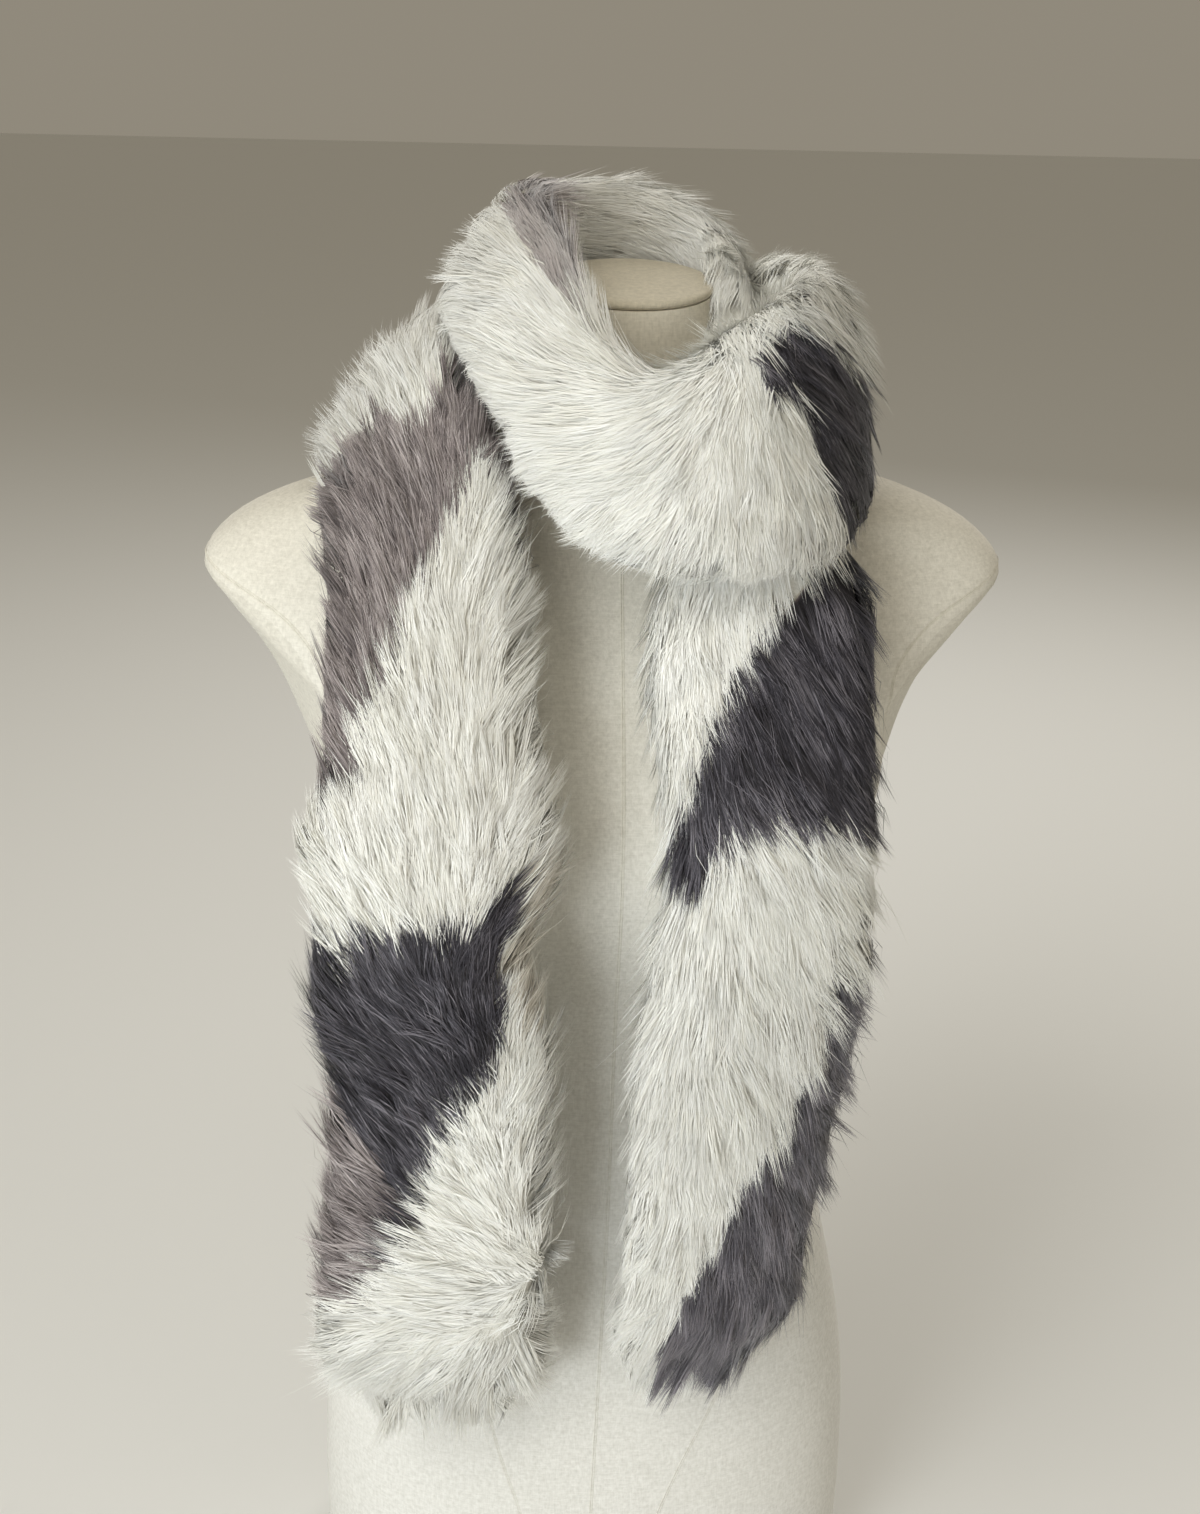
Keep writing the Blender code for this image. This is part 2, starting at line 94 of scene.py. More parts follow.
# The cap is a turned disc with a round edge and a slightly domed top.
CAP_RADIUS = 0.0435
CAP_THICKNESS = 0.0042
CAP_EDGE = 0.0021
CAP_DOME = 0.0015
CAP_GAP = 0.3 * MM
CAP_CIRCLES = 8
CAP_EDGE_STEPS = 12
CAP_SEGMENTS = 128

# The armhole: an oval on the side, its middle and half sizes as y and z. Its panel swells over the cover
# and sinks into it at its seam, in millimetres.
ARMHOLE_MIDDLE = (0.0, 0.596)
ARMHOLE_HALF_SIZE = (0.072, 0.060)
ARMHOLE_SWELL = 3.4
ARMHOLE_SINK = 0.4
ARMHOLE_SPOKES = 72
ARMHOLE_CIRCLES = 12

# Seams of the cover, as x and z on the front and on the back.
CENTRE_SEAM = ((0.0050, 0.700), (0.0052, 0.640), (0.0055, 0.560), (0.0055, 0.450), (0.0055, 0.330),
               (0.0025, 0.220), (-0.0015, 0.110), (-0.0030, 0.002))
LOW_SEAMS = (
    ((0.0800, 0.212), (0.0727, 0.184), (0.0557, 0.149), (0.0376, 0.104), (0.0240, 0.050), (0.0160, 0.002)),
    ((-0.0660, 0.186), (-0.0602, 0.166), (-0.0514, 0.135), (-0.0425, 0.106), (-0.0330, 0.055),
     (-0.0280, 0.002)),
)
BACK_SEAM = ((0, 0.700), (0, 0.560), (0, 0.340), (0, 0.150), (0, 0.002))
SEAM_STEP = 0.004
# The welt of a seam, in millimetres: places across it, and how far each stands off the cover.
SEAM_PROFILE = ((-1.5, -0.25), (-0.7, 0.30), (-0.15, 0.22), (0.0, -0.15), (0.15, 0.22), (0.7, 0.30),
                (1.5, -0.25))

# The scarf's route, a row for each fold or turn, from the left tail's hem to the right tail's hem.
# x, y, z: middle of the flattened tube. azimuth, elevation: where its shown face looks, in degrees,
# 0 = to +X, -90 = to the front. width, thickness: over the fur. skew: how far the section turns in the
# face's plane, in degrees.
SCARF_ROUTE = {
    "scarf_left_tail": (
        (-0.088, -0.132, 0.222, -95, 2, 0.094, 0.022, -4),
        (-0.090, -0.136, 0.244, -95, 2, 0.126, 0.038, -5),
        (-0.089, -0.138, 0.290, -95, 0, 0.128, 0.042, -3),
        (-0.087, -0.140, 0.345, -95, 0, 0.122, 0.044, 0),
        (-0.087, -0.145, 0.400, -95, -2, 0.116, 0.044, 0),
        (-0.087, -0.152, 0.432, -95, -4, 0.116, 0.044, 0),
        (-0.095, -0.161, 0.475, -95, -4, 0.112, 0.045, 0),
        (-0.098, -0.164, 0.510, -95, 0, 0.116, 0.046, 0),
        (-0.094, -0.159, 0.545, -95, 8, 0.134, 0.046, 0),
        (-0.091, -0.144, 0.585, -95, 20, 0.114, 0.044, 0),
        (-0.092, -0.124, 0.622, -97, 30, 0.106, 0.043, 0),
        (-0.093, -0.103, 0.655, -100, 34, 0.102, 0.042, 0),
    ),
    "scarf_left_shoulder": (
        (-0.098, -0.078, 0.688, -112, 38, 0.102, 0.041, 0),
        (-0.107, -0.047, 0.717, -140, 42, 0.104, 0.039, 0),
        (-0.113, -0.012, 0.736, 180, 42, 0.104, 0.037, 0),
        (-0.106, 0.030, 0.742, 155, 40, 0.102, 0.036, 0),
    ),
    "scarf_back_outer": (
        (-0.082, 0.070, 0.742, 130, 34, 0.100, 0.036, 0),
        (-0.042, 0.099, 0.739, 106, 30, 0.100, 0.036, 0),
        (0.010, 0.108, 0.738, 88, 28, 0.100, 0.036, 0),
        (0.060, 0.096, 0.741, 65, 28, 0.102, 0.036, 0),
        (0.098, 0.064, 0.746, 38, 26, 0.108, 0.036, 0),
    ),
    "scarf_right_turn": (
        (0.113, 0.022, 0.753, 8, 20, 0.110, 0.034, 0),
        (0.114, -0.018, 0.754, -12, 18, 0.112, 0.035, 0),
        (0.104, -0.058, 0.746, -36, 20, 0.118, 0.037, 0),
    ),
    "scarf_front_wrap": (
        (0.080, -0.092, 0.732, -62, 26, 0.124, 0.040, 0),
        (0.046, -0.112, 0.724, -84, 28, 0.113, 0.042, 0),
        (0.007, -0.117, 0.726, -102, 30, 0.098, 0.042, 0),
        (-0.023, -0.103, 0.744, -122, 34, 0.080, 0.042, 0),
        (-0.045, -0.074, 0.774, -142, 38, 0.078, 0.043, 0),
        (-0.057, -0.032, 0.802, -163, 34, 0.082, 0.044, 0),
    ),
    "scarf_back_inner": (
        (-0.054, 0.014, 0.809, 172, 14, 0.082, 0.042, 0),
        (-0.026, 0.052, 0.804, 122, 8, 0.086, 0.032, 0),
        (0.012, 0.064, 0.802, 88, 4, 0.086, 0.030, 0),
        (0.048, 0.053, 0.783, 52, 8, 0.086, 0.030, 0),
    ),
    "scarf_right_inner": (
        (0.067, 0.022, 0.765, 18, 12, 0.084, 0.027, 0),
        (0.073, -0.012, 0.748, -8, 16, 0.086, 0.026, 0),
        (0.073, -0.043, 0.719, -38, 22, 0.092, 0.028, 0),
        (0.071, -0.071, 0.690, -66, 30, 0.098, 0.032, 0),
    ),
    "scarf_right_tail": (
        (0.067, -0.098, 0.657, -80, 32, 0.102, 0.035, 0),
        (0.069, -0.122, 0.622, -86, 28, 0.108, 0.040, 0),
        (0.072, -0.144, 0.585, -86, 20, 0.106, 0.043, 0),
        (0.075, -0.159, 0.545, -86, 8, 0.104, 0.045, 0),
        (0.074, -0.164, 0.505, -86, 0, 0.110, 0.046, 0),
        (0.070, -0.161, 0.465, -86, -4, 0.112, 0.046, 0),
        (0.065, -0.154, 0.420, -86, -4, 0.112, 0.045, 0),
        (0.061, -0.147, 0.375, -86, -2, 0.110, 0.044, 2),
        (0.058, -0.141, 0.330, -86, 0, 0.106, 0.043, 6),
        (0.053, -0.137, 0.290, -86, 0, 0.102, 0.041, 14),
        (0.047, -0.134, 0.258, -86, 2, 0.096, 0.036, 22),
        (0.044, -0.131, 0.240, -86, 2, 0.070, 0.020, 26),
    ),
}
ROUTE_SAMPLES_PER_ROW = 40
SCARF_RING_SPACING = 0.0175
SCARF_RING_POINTS = 28
SCARF_SQUARENESS = 2.5
# The tube stays this far off what it rests on.
REST_GAP = 0.6 * MM

# Which run of stretches rests on which other run, from the neck outwards.
SCARF_LAYERS = (
    (("scarf_left_tail", "scarf_back_outer"), ("scarf_back_inner", "scarf_right_inner")),
    (("scarf_right_turn", "scarf_right_turn"), ("scarf_back_inner", "scarf_right_inner")),
    (("scarf_right_turn", "scarf_front_wrap"), ("scarf_right_inner", "scarf_right_tail")),
    (("scarf_front_wrap", "scarf_front_wrap"), ("scarf_left_tail", "scarf_left_shoulder")),
)
SETTLE_ROUNDS = 4
DEEPEST_PRESS = 0.030
PRESS_SPREAD = (0.6, 0.25)

# Small changes to the outline of the pile: metres along, degrees round, how far each way it reaches
# in metres and in degrees, and how far out it goes in metres.
TOUCHES = (
    (0.015, 20, 0.030, 60, 0.0040),
    (0.297, 0, 0.022, 45, -0.0080),
    (0.350, 0, 0.028, 45, -0.0050),
    (1.190, 15, 0.050, 40, -0.0070),
    (1.285, 140, 0.035, 45, -0.0080),
    (0.905, 200, 0.040, 40, 0.0110),
    (0.975, 135, 0.040, 45, 0.0080),
    (0.975, 40, 0.050, 40, -0.0100),
    (1.465, 235, 0.035, 35, 0.0120),
    (1.505, 225, 0.035, 35, 0.0140),
    (2.070, -15, 0.040, 50, 0.0100),
    (1.960, 175, 0.040, 45, -0.0040),
    (2.060, 175, 0.050, 50, -0.0100),
    (1.645, 5, 0.032, 60, 0.0150),
    (1.700, 20, 0.040, 45, 0.0040),
)
# How far the hems hang below their solids: which end of the route, the angle round it, how far that
# reaches in degrees and in metres along, and how much longer the tube is there in metres.
HEM_DROPS = (
    ("last", -35, 60, 0.100, 0.020),
    ("last", 85, 40, 0.060, -0.008),
    ("first", -10, 50, 0.050, 0.008),
)

# The pelt is a smaller tube inside the solids' surface, and the pile fills the space between. Its ring
# step is a share of the solids', and it stops a ring short of each hem.
PELT_SHARE = 0.80
PELT_RING_STEP = 0.5
PELT_RING_POINTS = 56
HEM_RINGS = 1.0
# The pile hangs past each hem on a few more rings, each smaller than the last.
END_RINGS = 4
END_SHRINK = 0.82

STRANDS = {
    "scarf_left_tail": 122000,
    "scarf_left_shoulder": 34000,
    "scarf_back_outer": 44000,
    "scarf_right_turn": 32000,
    "scarf_front_wrap": 70000,
    "scarf_back_inner": 30000,
    "scarf_right_inner": 10000,
    "scarf_right_tail": 106000,
}
MOST_STRANDS_A_PIECE = 70000
STRAND_LENGTH = 0.042
STRAND_WIDTH = 0.00052
WIDTH_RANGE = (0.7, 1.3)
# A strand's nodes from root 0 to tip 1, and the steps in which its way over the tube is followed.
STRAND_NODES = (0.12, 0.56, 1.0)
PATH_STEPS = (0.12, 0.34, 0.56, 0.78, 1.0)
# On the inside of a bend the rings crowd together: the least step between rings and between points
# that the pile is measured with, in metres.
LEAST_STEPS = (0.011, 0.004)

# A tuft is a few locks that lean together, and a lock is a few strands whose tips meet. A gather says
# how much of the spread at the roots is gone at the tips.
LOCKS_PER_TUFT = 5
TUFT_RADIUS = 0.0060
TUFT_GATHER = 0.38
TUFT_LENGTHS = (0.85, 1.12)
STRANDS_PER_LOCK = 14
LOCK_RADIUS = 0.0024
LOCK_GATHER = 0.80
GATHER_RANGE = (0.75, 1.15)
GATHER_POWER = 1.2
LENGTH_RANGE = (0.82, 1.06)

# Spreads of the lean, in degrees: of a tuft, of a lock in it, of a strand in that, and of the slow drift.
TUFT_LEAN = 6.0
LOCK_LEAN = 3.5
STRAY_LEAN = 4.0
DRIFT_LEAN = 9.0
# The share of a strand's own turn that it has from its root on. The rest comes with its length.
ROOT_TURN = 0.4

# Heights, 0 on the pelt and 1 where the pile ends. A tuft's: the middle, the spread, the slow drift.
# A strand's: its spread in the tuft, the least, and the most in the open and elsewhere.
TUFT_RISE = (0.86, 0.07, 0.04)
RISE_DRIFT_SHIFT = 0.5
STRAND_RISE = 0.04
LEAST_RISE = 0.2
MOST_RISE = (1.12, 0.96)
RISE_POWER = 2.8

# Some strands lie low under the others, and a few fly away where the pile is in the open.
UNDER_SHARE = 0.2
UNDER_LENGTH = 0.8
UNDER_RISES = (0.5, 0.85)
FLYAWAY_SHARE = 0.02
FLYAWAY_LENGTHS = (1.0, 1.3)
FLYAWAY_RISES = (1.05, 1.7)
FLYAWAY_TURN = 2.0
FLYAWAY_GATHER = 0.2
FLYAWAY_WIDTH = 0.6

# Some locks lift their tips: how many, how far apart from their tuft, how far in metres, the most
# spreads of that, and the middle node's share. The gather of the other locks is less.
LIFTED_SHARE = 0.30
LIFT_ALONE = 0.4
TIP_LIFT = 0.0078
MOST_LIFT = 1.5
MIDDLE_LIFT = 0.22
FLAT_GATHER = 0.6
# How far strands run straight on where the tube curves away, and at the hems, where they are longer.
# LEVELLED_SHARE: how much of their rise is taken off that way first.
STIFFNESS = 0.62
HEM_STIFFNESS = 0.90
HEM_LENGTH = 0.012
STIFFNESS_RANGE = (0.2, 1.6)
LEVELLED_SHARE = 0.8

# Where the pile is in the open, tested a little off the tube: how near a solid that touches it is, and
# how far off one that shelters it may be.
TOUCH_TEST = 0.003
TOUCH_REACH = 0.03
TOUCH_NEAR = 0.002
SHELTER_REACH = 0.06
SHELTERED_SHARE = 0.85
OPEN_BLUR_ROUNDS = 4
OPEN_ENOUGH = 0.9
# What is left of the tufts where the pile is hidden, and of the lift.
HIDDEN_SHARE = 0.16
SHELTERED_LIFT = 0.35

# Where on a strand its place picks its colour, from root 0 to tip 1, the spread of that and its limits.
TONE_PLACE = (0.62, 0.07)
TONE_PLACE_LIMITS = (0.3, 1.0)
# Lighter and darker strands: the spreads of a tuft, a lock and the slow drift, which count for
# LOCK_SHADE_SHARE, and a strand's own.
TUFT_SHADE = 0.8
LOCK_SHADE = 0.9
DRIFT_SHADE = 0.9
SHADE_DRIFT_STRETCH = 0.7
SHADE_DRIFT_SHIFT = 3.0
LOCK_SHADE_SHARE = 0.18
STRAND_SHADE = 0.32
# A ribbon: how much its edges differ in tone, its roll in degrees, how its shading leans along it, and
# the spread of that from lock to lock.
TONE_WIDTH = 0.004
RIBBON_ROLL = 50.0
SHADING_LEAN = 0.25
NORMAL_SPREAD = 0.15
# Corners of a ribbon's two faces: root, one side, other side, tip.
RIBBON_CORNERS = (0, 2, 1, 1, 2, 3)

# Which way the pile lies on the tube, in degrees from the route's direction, positive towards the
# 180-degree edge. along: metres from the left tail's hem. Then at 0 (edge), 90 (middle of the shown
# face), 180 (other edge) and 270 degrees (hidden face) round the tube.
NAP = (
    (0.00, -150, -175, -215, -180),
    (0.06, -90, -90, -270, -180),
    (0.10, -60, -62, 38, 0),
    (0.16, -44, -28, 44, 0),
    (0.26, -34, -20, 48, 0),
    (0.36, -44, -16, 54, 0),
    (0.44, -38, -6, 50, 0),
    (0.53, -40, -2, 34, 0),
    (0.62, -25, -8, 12, 0),
    (0.70, -20, -10, 10, 0),
    (0.88, -25, -15, 5, 0),
    (0.96, -75, -70, -62, -60),
    (1.02, -95, -88, -72, -60),
    (1.06, -95, -80, -46, -20),
    (1.12, -74, -52, -16, 0),
    (1.18, -66, -38, -6, 0),
    (1.26, -60, -32, 4, 0),
    (1.34, -44, -16, 10, 10),
    (1.50, -10, 0, 8, -5),
    (1.64, -30, -12, 4, 0),
    (1.74, -36, -22, 0, 0),
    (1.86, -36, -20, 0, 0),
    (1.96, -22, -12, 8, 0),
    (2.03, -6, 0, 20, 0),
    (2.09, 0, 8, 32, 0),
)

# The fur's tones, as places on a strip of colours from the darkest pile to the whitest.
TONES = {
    "charcoal": (0.015, 0.185),
    "slate": (0.11, 0.218),
    "mauve": (0.24, 0.36),
    "lilac": (0.34, 0.44),
    "beige": (0.48, 0.56),
    "white": (0.64, 0.98),
}
# The patches of other fur, drawn on the tube as it would lie unrolled: a corner for each pair of
# metres along the route and degrees round the tube.
PATCHES = (
    ("charcoal", ((0.284, -70), (0.284, 35), (0.292, 86), (0.298, 113), (0.321, 129), (0.330, 146),
                  (0.291, 146), (0.252, 138), (0.225, 122), (0.192, 98), (0.137, 84), (0.095, 66),
                  (0.062, 42), (0.040, 0), (0.035, -70))),
    ("mauve", ((0.340, -25), (0.355, 20), (0.373, 44), (0.389, 53), (0.407, 66), (0.435, 81),
               (0.454, 87), (0.465, 99), (0.481, 105), (0.488, 114), (0.498, 125), (0.509, 145),
               (0.500, 158), (0.485, 168), (0.462, 185), (0.462, 230), (0.560, 230), (0.560, 150),
               (0.545, 136), (0.537, 122), (0.530, 111), (0.538, 99), (0.552, 93), (0.550, 81),
               (0.542, 67), (0.534, 30), (0.520, -25))),
    ("charcoal", ((0.700, -60), (0.750, 60), (0.780, 110), (0.795, 140), (0.860, 140), (0.850, 110),
                  (0.820, 60), (0.790, -60))),
    ("charcoal", ((0.945, 80), (0.999, 96), (1.001, 108), (1.007, 118), (1.016, 134), (1.030, 137),
                  (1.045, 132), (1.052, 118), (1.053, 108), (1.041, 105), (1.035, 102), (1.043, 93),
                  (1.045, 82), (1.048, 68), (1.048, 57), (1.046, 45), (1.045, -10), (0.930, -10))),
    ("lilac", ((1.200, 150), (1.216, 139), (1.237, 130), (1.269, 138), (1.302, 150), (1.342, 172),
               (1.350, 200), (1.348, 235), (1.346, 264), (1.320, 264), (1.280, 235), (1.225, 186))),
    ("mauve", ((1.262, 165), (1.300, 165), (1.322, 190), (1.332, 236), (1.332, 266), (1.312, 266),
               (1.290, 235), (1.250, 200))),
    ("charcoal", ((1.600, -40), (1.600, 0), (1.612, 18), (1.648, 71), (1.676, 91), (1.696, 100),
                  (1.722, 120), (1.748, 139), (1.780, 178), (1.794, 158), (1.789, 132), (1.771, 120),
                  (1.764, 98), (1.769, 37), (1.770, 0), (1.765, -40))),
    ("slate", ((1.815, -60), (1.822, 0), (1.840, 46), (1.876, 56), (1.895, 62), (1.934, 73),
                  (1.960, 84), (2.008, 92), (2.053, 103), (2.140, 120), (2.140, -60))),
    ("mauve", ((0.030, -70), (0.190, -70), (0.215, -5), (0.185, 28), (0.160, 58), (0.130, 74),
               (0.082, 56), (0.058, 40), (0.038, 0))),
    ("mauve", ((0.150, -50), (0.270, -50), (0.270, -4), (0.150, 8))),
    ("beige", ((0.230, 150), (0.330, 150), (0.330, 185), (0.230, 185))),
)

# Colours along the strip of tones, for the roots and for the tips of the strands. The roots are darker:
# partly the fur's own lighter tips, and partly painted shade deep in the pile between the strands.
ROOT_COLOURS = (
    (0.00, (0.010, 0.009, 0.010)),
    (0.21, (0.050, 0.044, 0.052)),
    (0.24, (0.045, 0.036, 0.038)),
    (0.37, (0.140, 0.115, 0.115)),
    (0.40, (0.170, 0.145, 0.140)),
    (0.46, (0.330, 0.300, 0.285)),
    (0.49, (0.560, 0.515, 0.430)),
    (0.57, (0.660, 0.620, 0.530)),
    (0.64, (0.830, 0.810, 0.735)),
    (1.00, (0.930, 0.920, 0.870)),
)
TIP_COLOURS = (
    (0.00, (0.020, 0.018, 0.024)),
    (0.09, (0.046, 0.042, 0.054)),
    (0.15, (0.120, 0.112, 0.134)),
    (0.21, (0.360, 0.335, 0.372)),
    (0.24, (0.190, 0.160, 0.160)),
    (0.33, (0.520, 0.455, 0.445)),
    (0.37, (0.700, 0.640, 0.625)),
    (0.40, (0.500, 0.455, 0.445)),
    (0.46, (0.800, 0.765, 0.745)),
    (0.49, (0.720, 0.675, 0.590)),
    (0.57, (0.800, 0.765, 0.690)),
    (0.64, (0.900, 0.890, 0.825)),
    (1.00, (0.965, 0.965, 0.940)),
)

# The canvas of each kind of piece: the darkest and the lightest colour of its weave.
CANVAS_COLOURS = {
    "cover": ((0.65, 0.638, 0.590), (0.84, 0.83, 0.790)),
    # Painted shade: the cap's canvas is darker and warmer than the cover's, for the shade of the collar
    # round it.
    "cap": ((0.53, 0.51, 0.45), (0.69, 0.665, 0.59)),
    # Painted shade: the armhole panel's canvas is a little darker than the cover's, for the form's sides
    # that turn from the light.
    "plate": ((0.60, 0.585, 0.54), (0.78, 0.77, 0.72)),
    "welt": ((0.62, 0.60, 0.54), (0.80, 0.79, 0.74)),
}
# The weave's noises, by how fine they are, and where its shade is darkest and lightest.
THREAD_SCALE = 1500.0
SPECK_SCALE = 420.0
SLOW_SCALE = 7.0
WEAVE_ENDS = (0.36, 0.62)
PELT_GRAIN_SCALE = 260.0
# Where on a strand the root's colour ends and where the tip's colour is full.
COLOUR_ENDS = (0.15, 0.95)
# Painted shade: the cover gets darker and warmer towards the neck, for the warm shade that the scarf and
# collar cast over the chest and neck. A tint for each height in metres.
NECK_SHADE_TINT = ((0.30, (1.0, 1.0, 1.0)), (0.62, (0.99, 0.965, 0.91)), (0.76, (0.92, 0.87, 0.77)))

# The camera of the photograph: where it stands, and how it is turned, in degrees.
CAMERA_DISTANCE = 1.05
CAMERA_HEIGHT = 0.91
CAMERA_PITCH = 19.6
CAMERA_YAW = -3.5
CAMERA_ROLL = 1.4
CAMERA_FOCUS_PIXELS = 1982.0
FRAME_HEIGHT = 1514
SENSOR_HEIGHT = 36.0

FLOOR_SIZE = 40.0
FLOOR_DROP = 0.5 * MM
FLOOR_COLOUR = (0.82, 0.82, 0.80, 1.0)
WORLD_COLOUR = (1.00, 0.90, 0.72, 1.0)
WORLD_STRENGTH = 0.28
# name, where it stands, where it points, size, power in watts, colour
LIGHTS = (
    ("key_light", (-1.65, -1.95, 2.75), (0.0, -0.05, 0.55), 1.8, 41.5, (1.0, 1.0, 0.965)),
    ("low_light", (-1.55, -2.5, 0.45), (0.0, -0.05, 0.12), 1.4, 43.0, (0.94, 1.0, 1.04)),
    ("collar_light", (-0.15, -0.95, 1.85), (0.0, 0.05, 0.82), 0.4, 1.8, (1.0, 0.97, 0.88)),
    ("fill_light", (2.2, -2.2, 1.1), (0.0, 0.0, 0.50), 1.6, 7.5, (1.0, 0.97, 0.90)),
    ("back_light", (0.9, 2.0, 2.2), (0.0, 0.0, 0.70), 1.4, 26.0, (1.0, 0.99, 0.96)),
)


def smooth_rows(rows, positions):
    """Reads the rows of a table as a smooth curve (a natural cubic) at fractional row numbers."""
    rows = np.array(rows, float)
    last = len(rows) - 1
    system = np.eye(last + 1) * 4
    system[0, 0] = system[last, last] = 1
    rise = np.zeros_like(rows)
    for i in range(1, last):
        system[i, i - 1] = system[i, i + 1] = 1
        rise[i] = 6 * (rows[i - 1] - 2 * rows[i] + rows[i + 1])
    bend = np.linalg.solve(system, rise)
    found = []
    for position in positions:
        i = min(int(position), last - 1)
        t = position - i
        found.append(
            rows[i] * (1 - t) + rows[i + 1] * t
            - bend[i] * t * (1 - t) * (2 - t) / 6
            - bend[i + 1] * t * (1 - t) * (1 + t) / 6
        )
    return np.array(found)


def rounded(value, squareness):
    """One coordinate of a superellipse from the sine or cosine of its angle."""
    return math.copysign(abs(value) ** (2 / squareness), value)


def chest_fullness(x, z):
    """How far the chest stands out at a place on the front."""
    middle_x, middle_z, spread_x, spread_z, depth = CHEST_FULLNESS
    lift = math.exp(-((z - middle_z) / spread_z) ** 2 / 2)
    return depth * lift * sum(
        math.exp(-((x - side * middle_x) / spread_x) ** 2 / 2) for side in (-1, 1)
    )


def form_ring(section):
    """One section of the form, as points round it."""
    z, half_width, front, back, squareness, armhole, middle_x, middle_y, tilt = section
    ring = []
    for i in range(TORSO_RING_POINTS):
        angle = 2 * math.pi * i / TORSO_RING_POINTS
        x = half_width * rounded(math.cos(angle), squareness)
        side = rounded(math.sin(angle), squareness)
        y = side * (back if side > 0 else front)
        if side < 0:
            y -= chest_fullness(x, z) * -side
        if armhole > 0:
            limit = half_width - armhole * max(0.0, ARMHOLE_WIDEST_Y - y)
            soft = ARMHOLE_SOFTNESS * armhole
            x = math.copysign((abs(x) + limit - math.hypot(abs(x) - limit, soft)) / 2, x)
        ring.append((middle_x + x, middle_y + y, z + y * math.tan(math.radians(tilt))))
    return ring


def ring_faces(ring_count, count):
    """The faces between rings that follow each other in one list of points."""
    faces = []
    for low in range(0, (ring_count - 1) * count, count):
        for i in range(count):
            j = (i + 1) % count
            faces.append((low + i, low + j, low + count + j, low + count + i))
    return faces


def smooth_mesh(name, points, faces):
    mesh = bpy.data.meshes.new(name)
    mesh.from_pydata([tuple(p) for p in points], [], faces)
    mesh.shade_smooth()
    return mesh


def mesh_tree(mesh):
    return BVHTree.FromPolygons([v.co for v in mesh.vertices], [tuple(f.vertices) for f in mesh.polygons])


def loft_faces(ring_count, count):
    """The faces round a loft, and a fan at each end from the two middles that follow its points."""
    first_middle = ring_count * count
    top = first_middle - count
    faces = []
    for i in range(count):
        j = (i + 1) % count
        faces.append((first_middle, j, i))
        faces.append((first_middle + 1, top + i, top + j))
        for low in range(0, top, count):
            faces.append((low + i, low + j, low + count + j, low + count + i))
    return faces


def loft_points(rings):
    points = [tuple(p) for ring in rings for p in ring]
    return points + [tuple(np.mean(rings[0], axis=0)), tuple(np.mean(rings[-1], axis=0))]


def facing(azimuth, elevation):
    azimuth = math.radians(azimuth)
    elevation = math.radians(elevation)
    level = math.cos(elevation)
    return (level * math.cos(azimuth), level * math.sin(azimuth), math.sin(elevation))


def scarf_grid():
    """All the scarf's rings, as one array, and the ring number where each stretch starts."""
    rows = []
    starts = []
    for stretch in SCARF_ROUTE.values():
        starts.append(len(rows))
        for x, y, z, azimuth, elevation, width, thickness, skew in stretch:
            rows.append((x, y, z, *facing(azimuth, elevation), width, thickness, skew))
    fine = np.linspace(0, len(rows) - 1, ROUTE_SAMPLES_PER_ROW * len(rows))
    along = smooth_rows(rows, fine)[:, :3]
    length = np.concatenate([[0], np.cumsum(np.linalg.norm(np.diff(along, axis=0), axis=1))])
    positions = []
    ring_starts = []
    bounds = starts + [len(rows) - 1]
    for first, last in zip(bounds, bounds[1:]):
        a, b = np.interp((first, last), fine, length)
        count = max(2, round((b - a) / SCARF_RING_SPACING))
        ring_starts.append(len(positions))
        positions.extend(np.interp(a + (b - a) * np.arange(count) / count, length, fine))
    positions.append(len(rows) - 1.0)
    curve = smooth_rows(rows, positions)
    middles = curve[:, :3]
    tangents = np.gradient(middles, axis=0)
    tangents /= np.linalg.norm(tangents, axis=1)[:, None]
    rings = []
    for middle, tangent, row in zip(middles, tangents, curve):
        out = row[3:6] - tangent * (tangent @ row[3:6])
        out /= np.linalg.norm(out)
        across = np.cross(out, tangent)
        skew = math.tan(math.radians(row[8]))
        ring = []
        for i in range(SCARF_RING_POINTS):
            angle = 2 * math.pi * i / SCARF_RING_POINTS
            u = row[6] / 2 * rounded(math.cos(angle), SCARF_SQUARENESS)
            v = row[7] / 2 * rounded(math.sin(angle), SCARF_SQUARENESS)
            ring.append(middle + across * u + out * v - tangent * (u * skew))
        rings.append(ring)
    return np.array(rings), ring_starts + [len(positions) - 1]


def tree_of_rings(rings):
    return BVHTree.FromPolygons(loft_points(rings), loft_faces(len(rings), len(rings[0])))


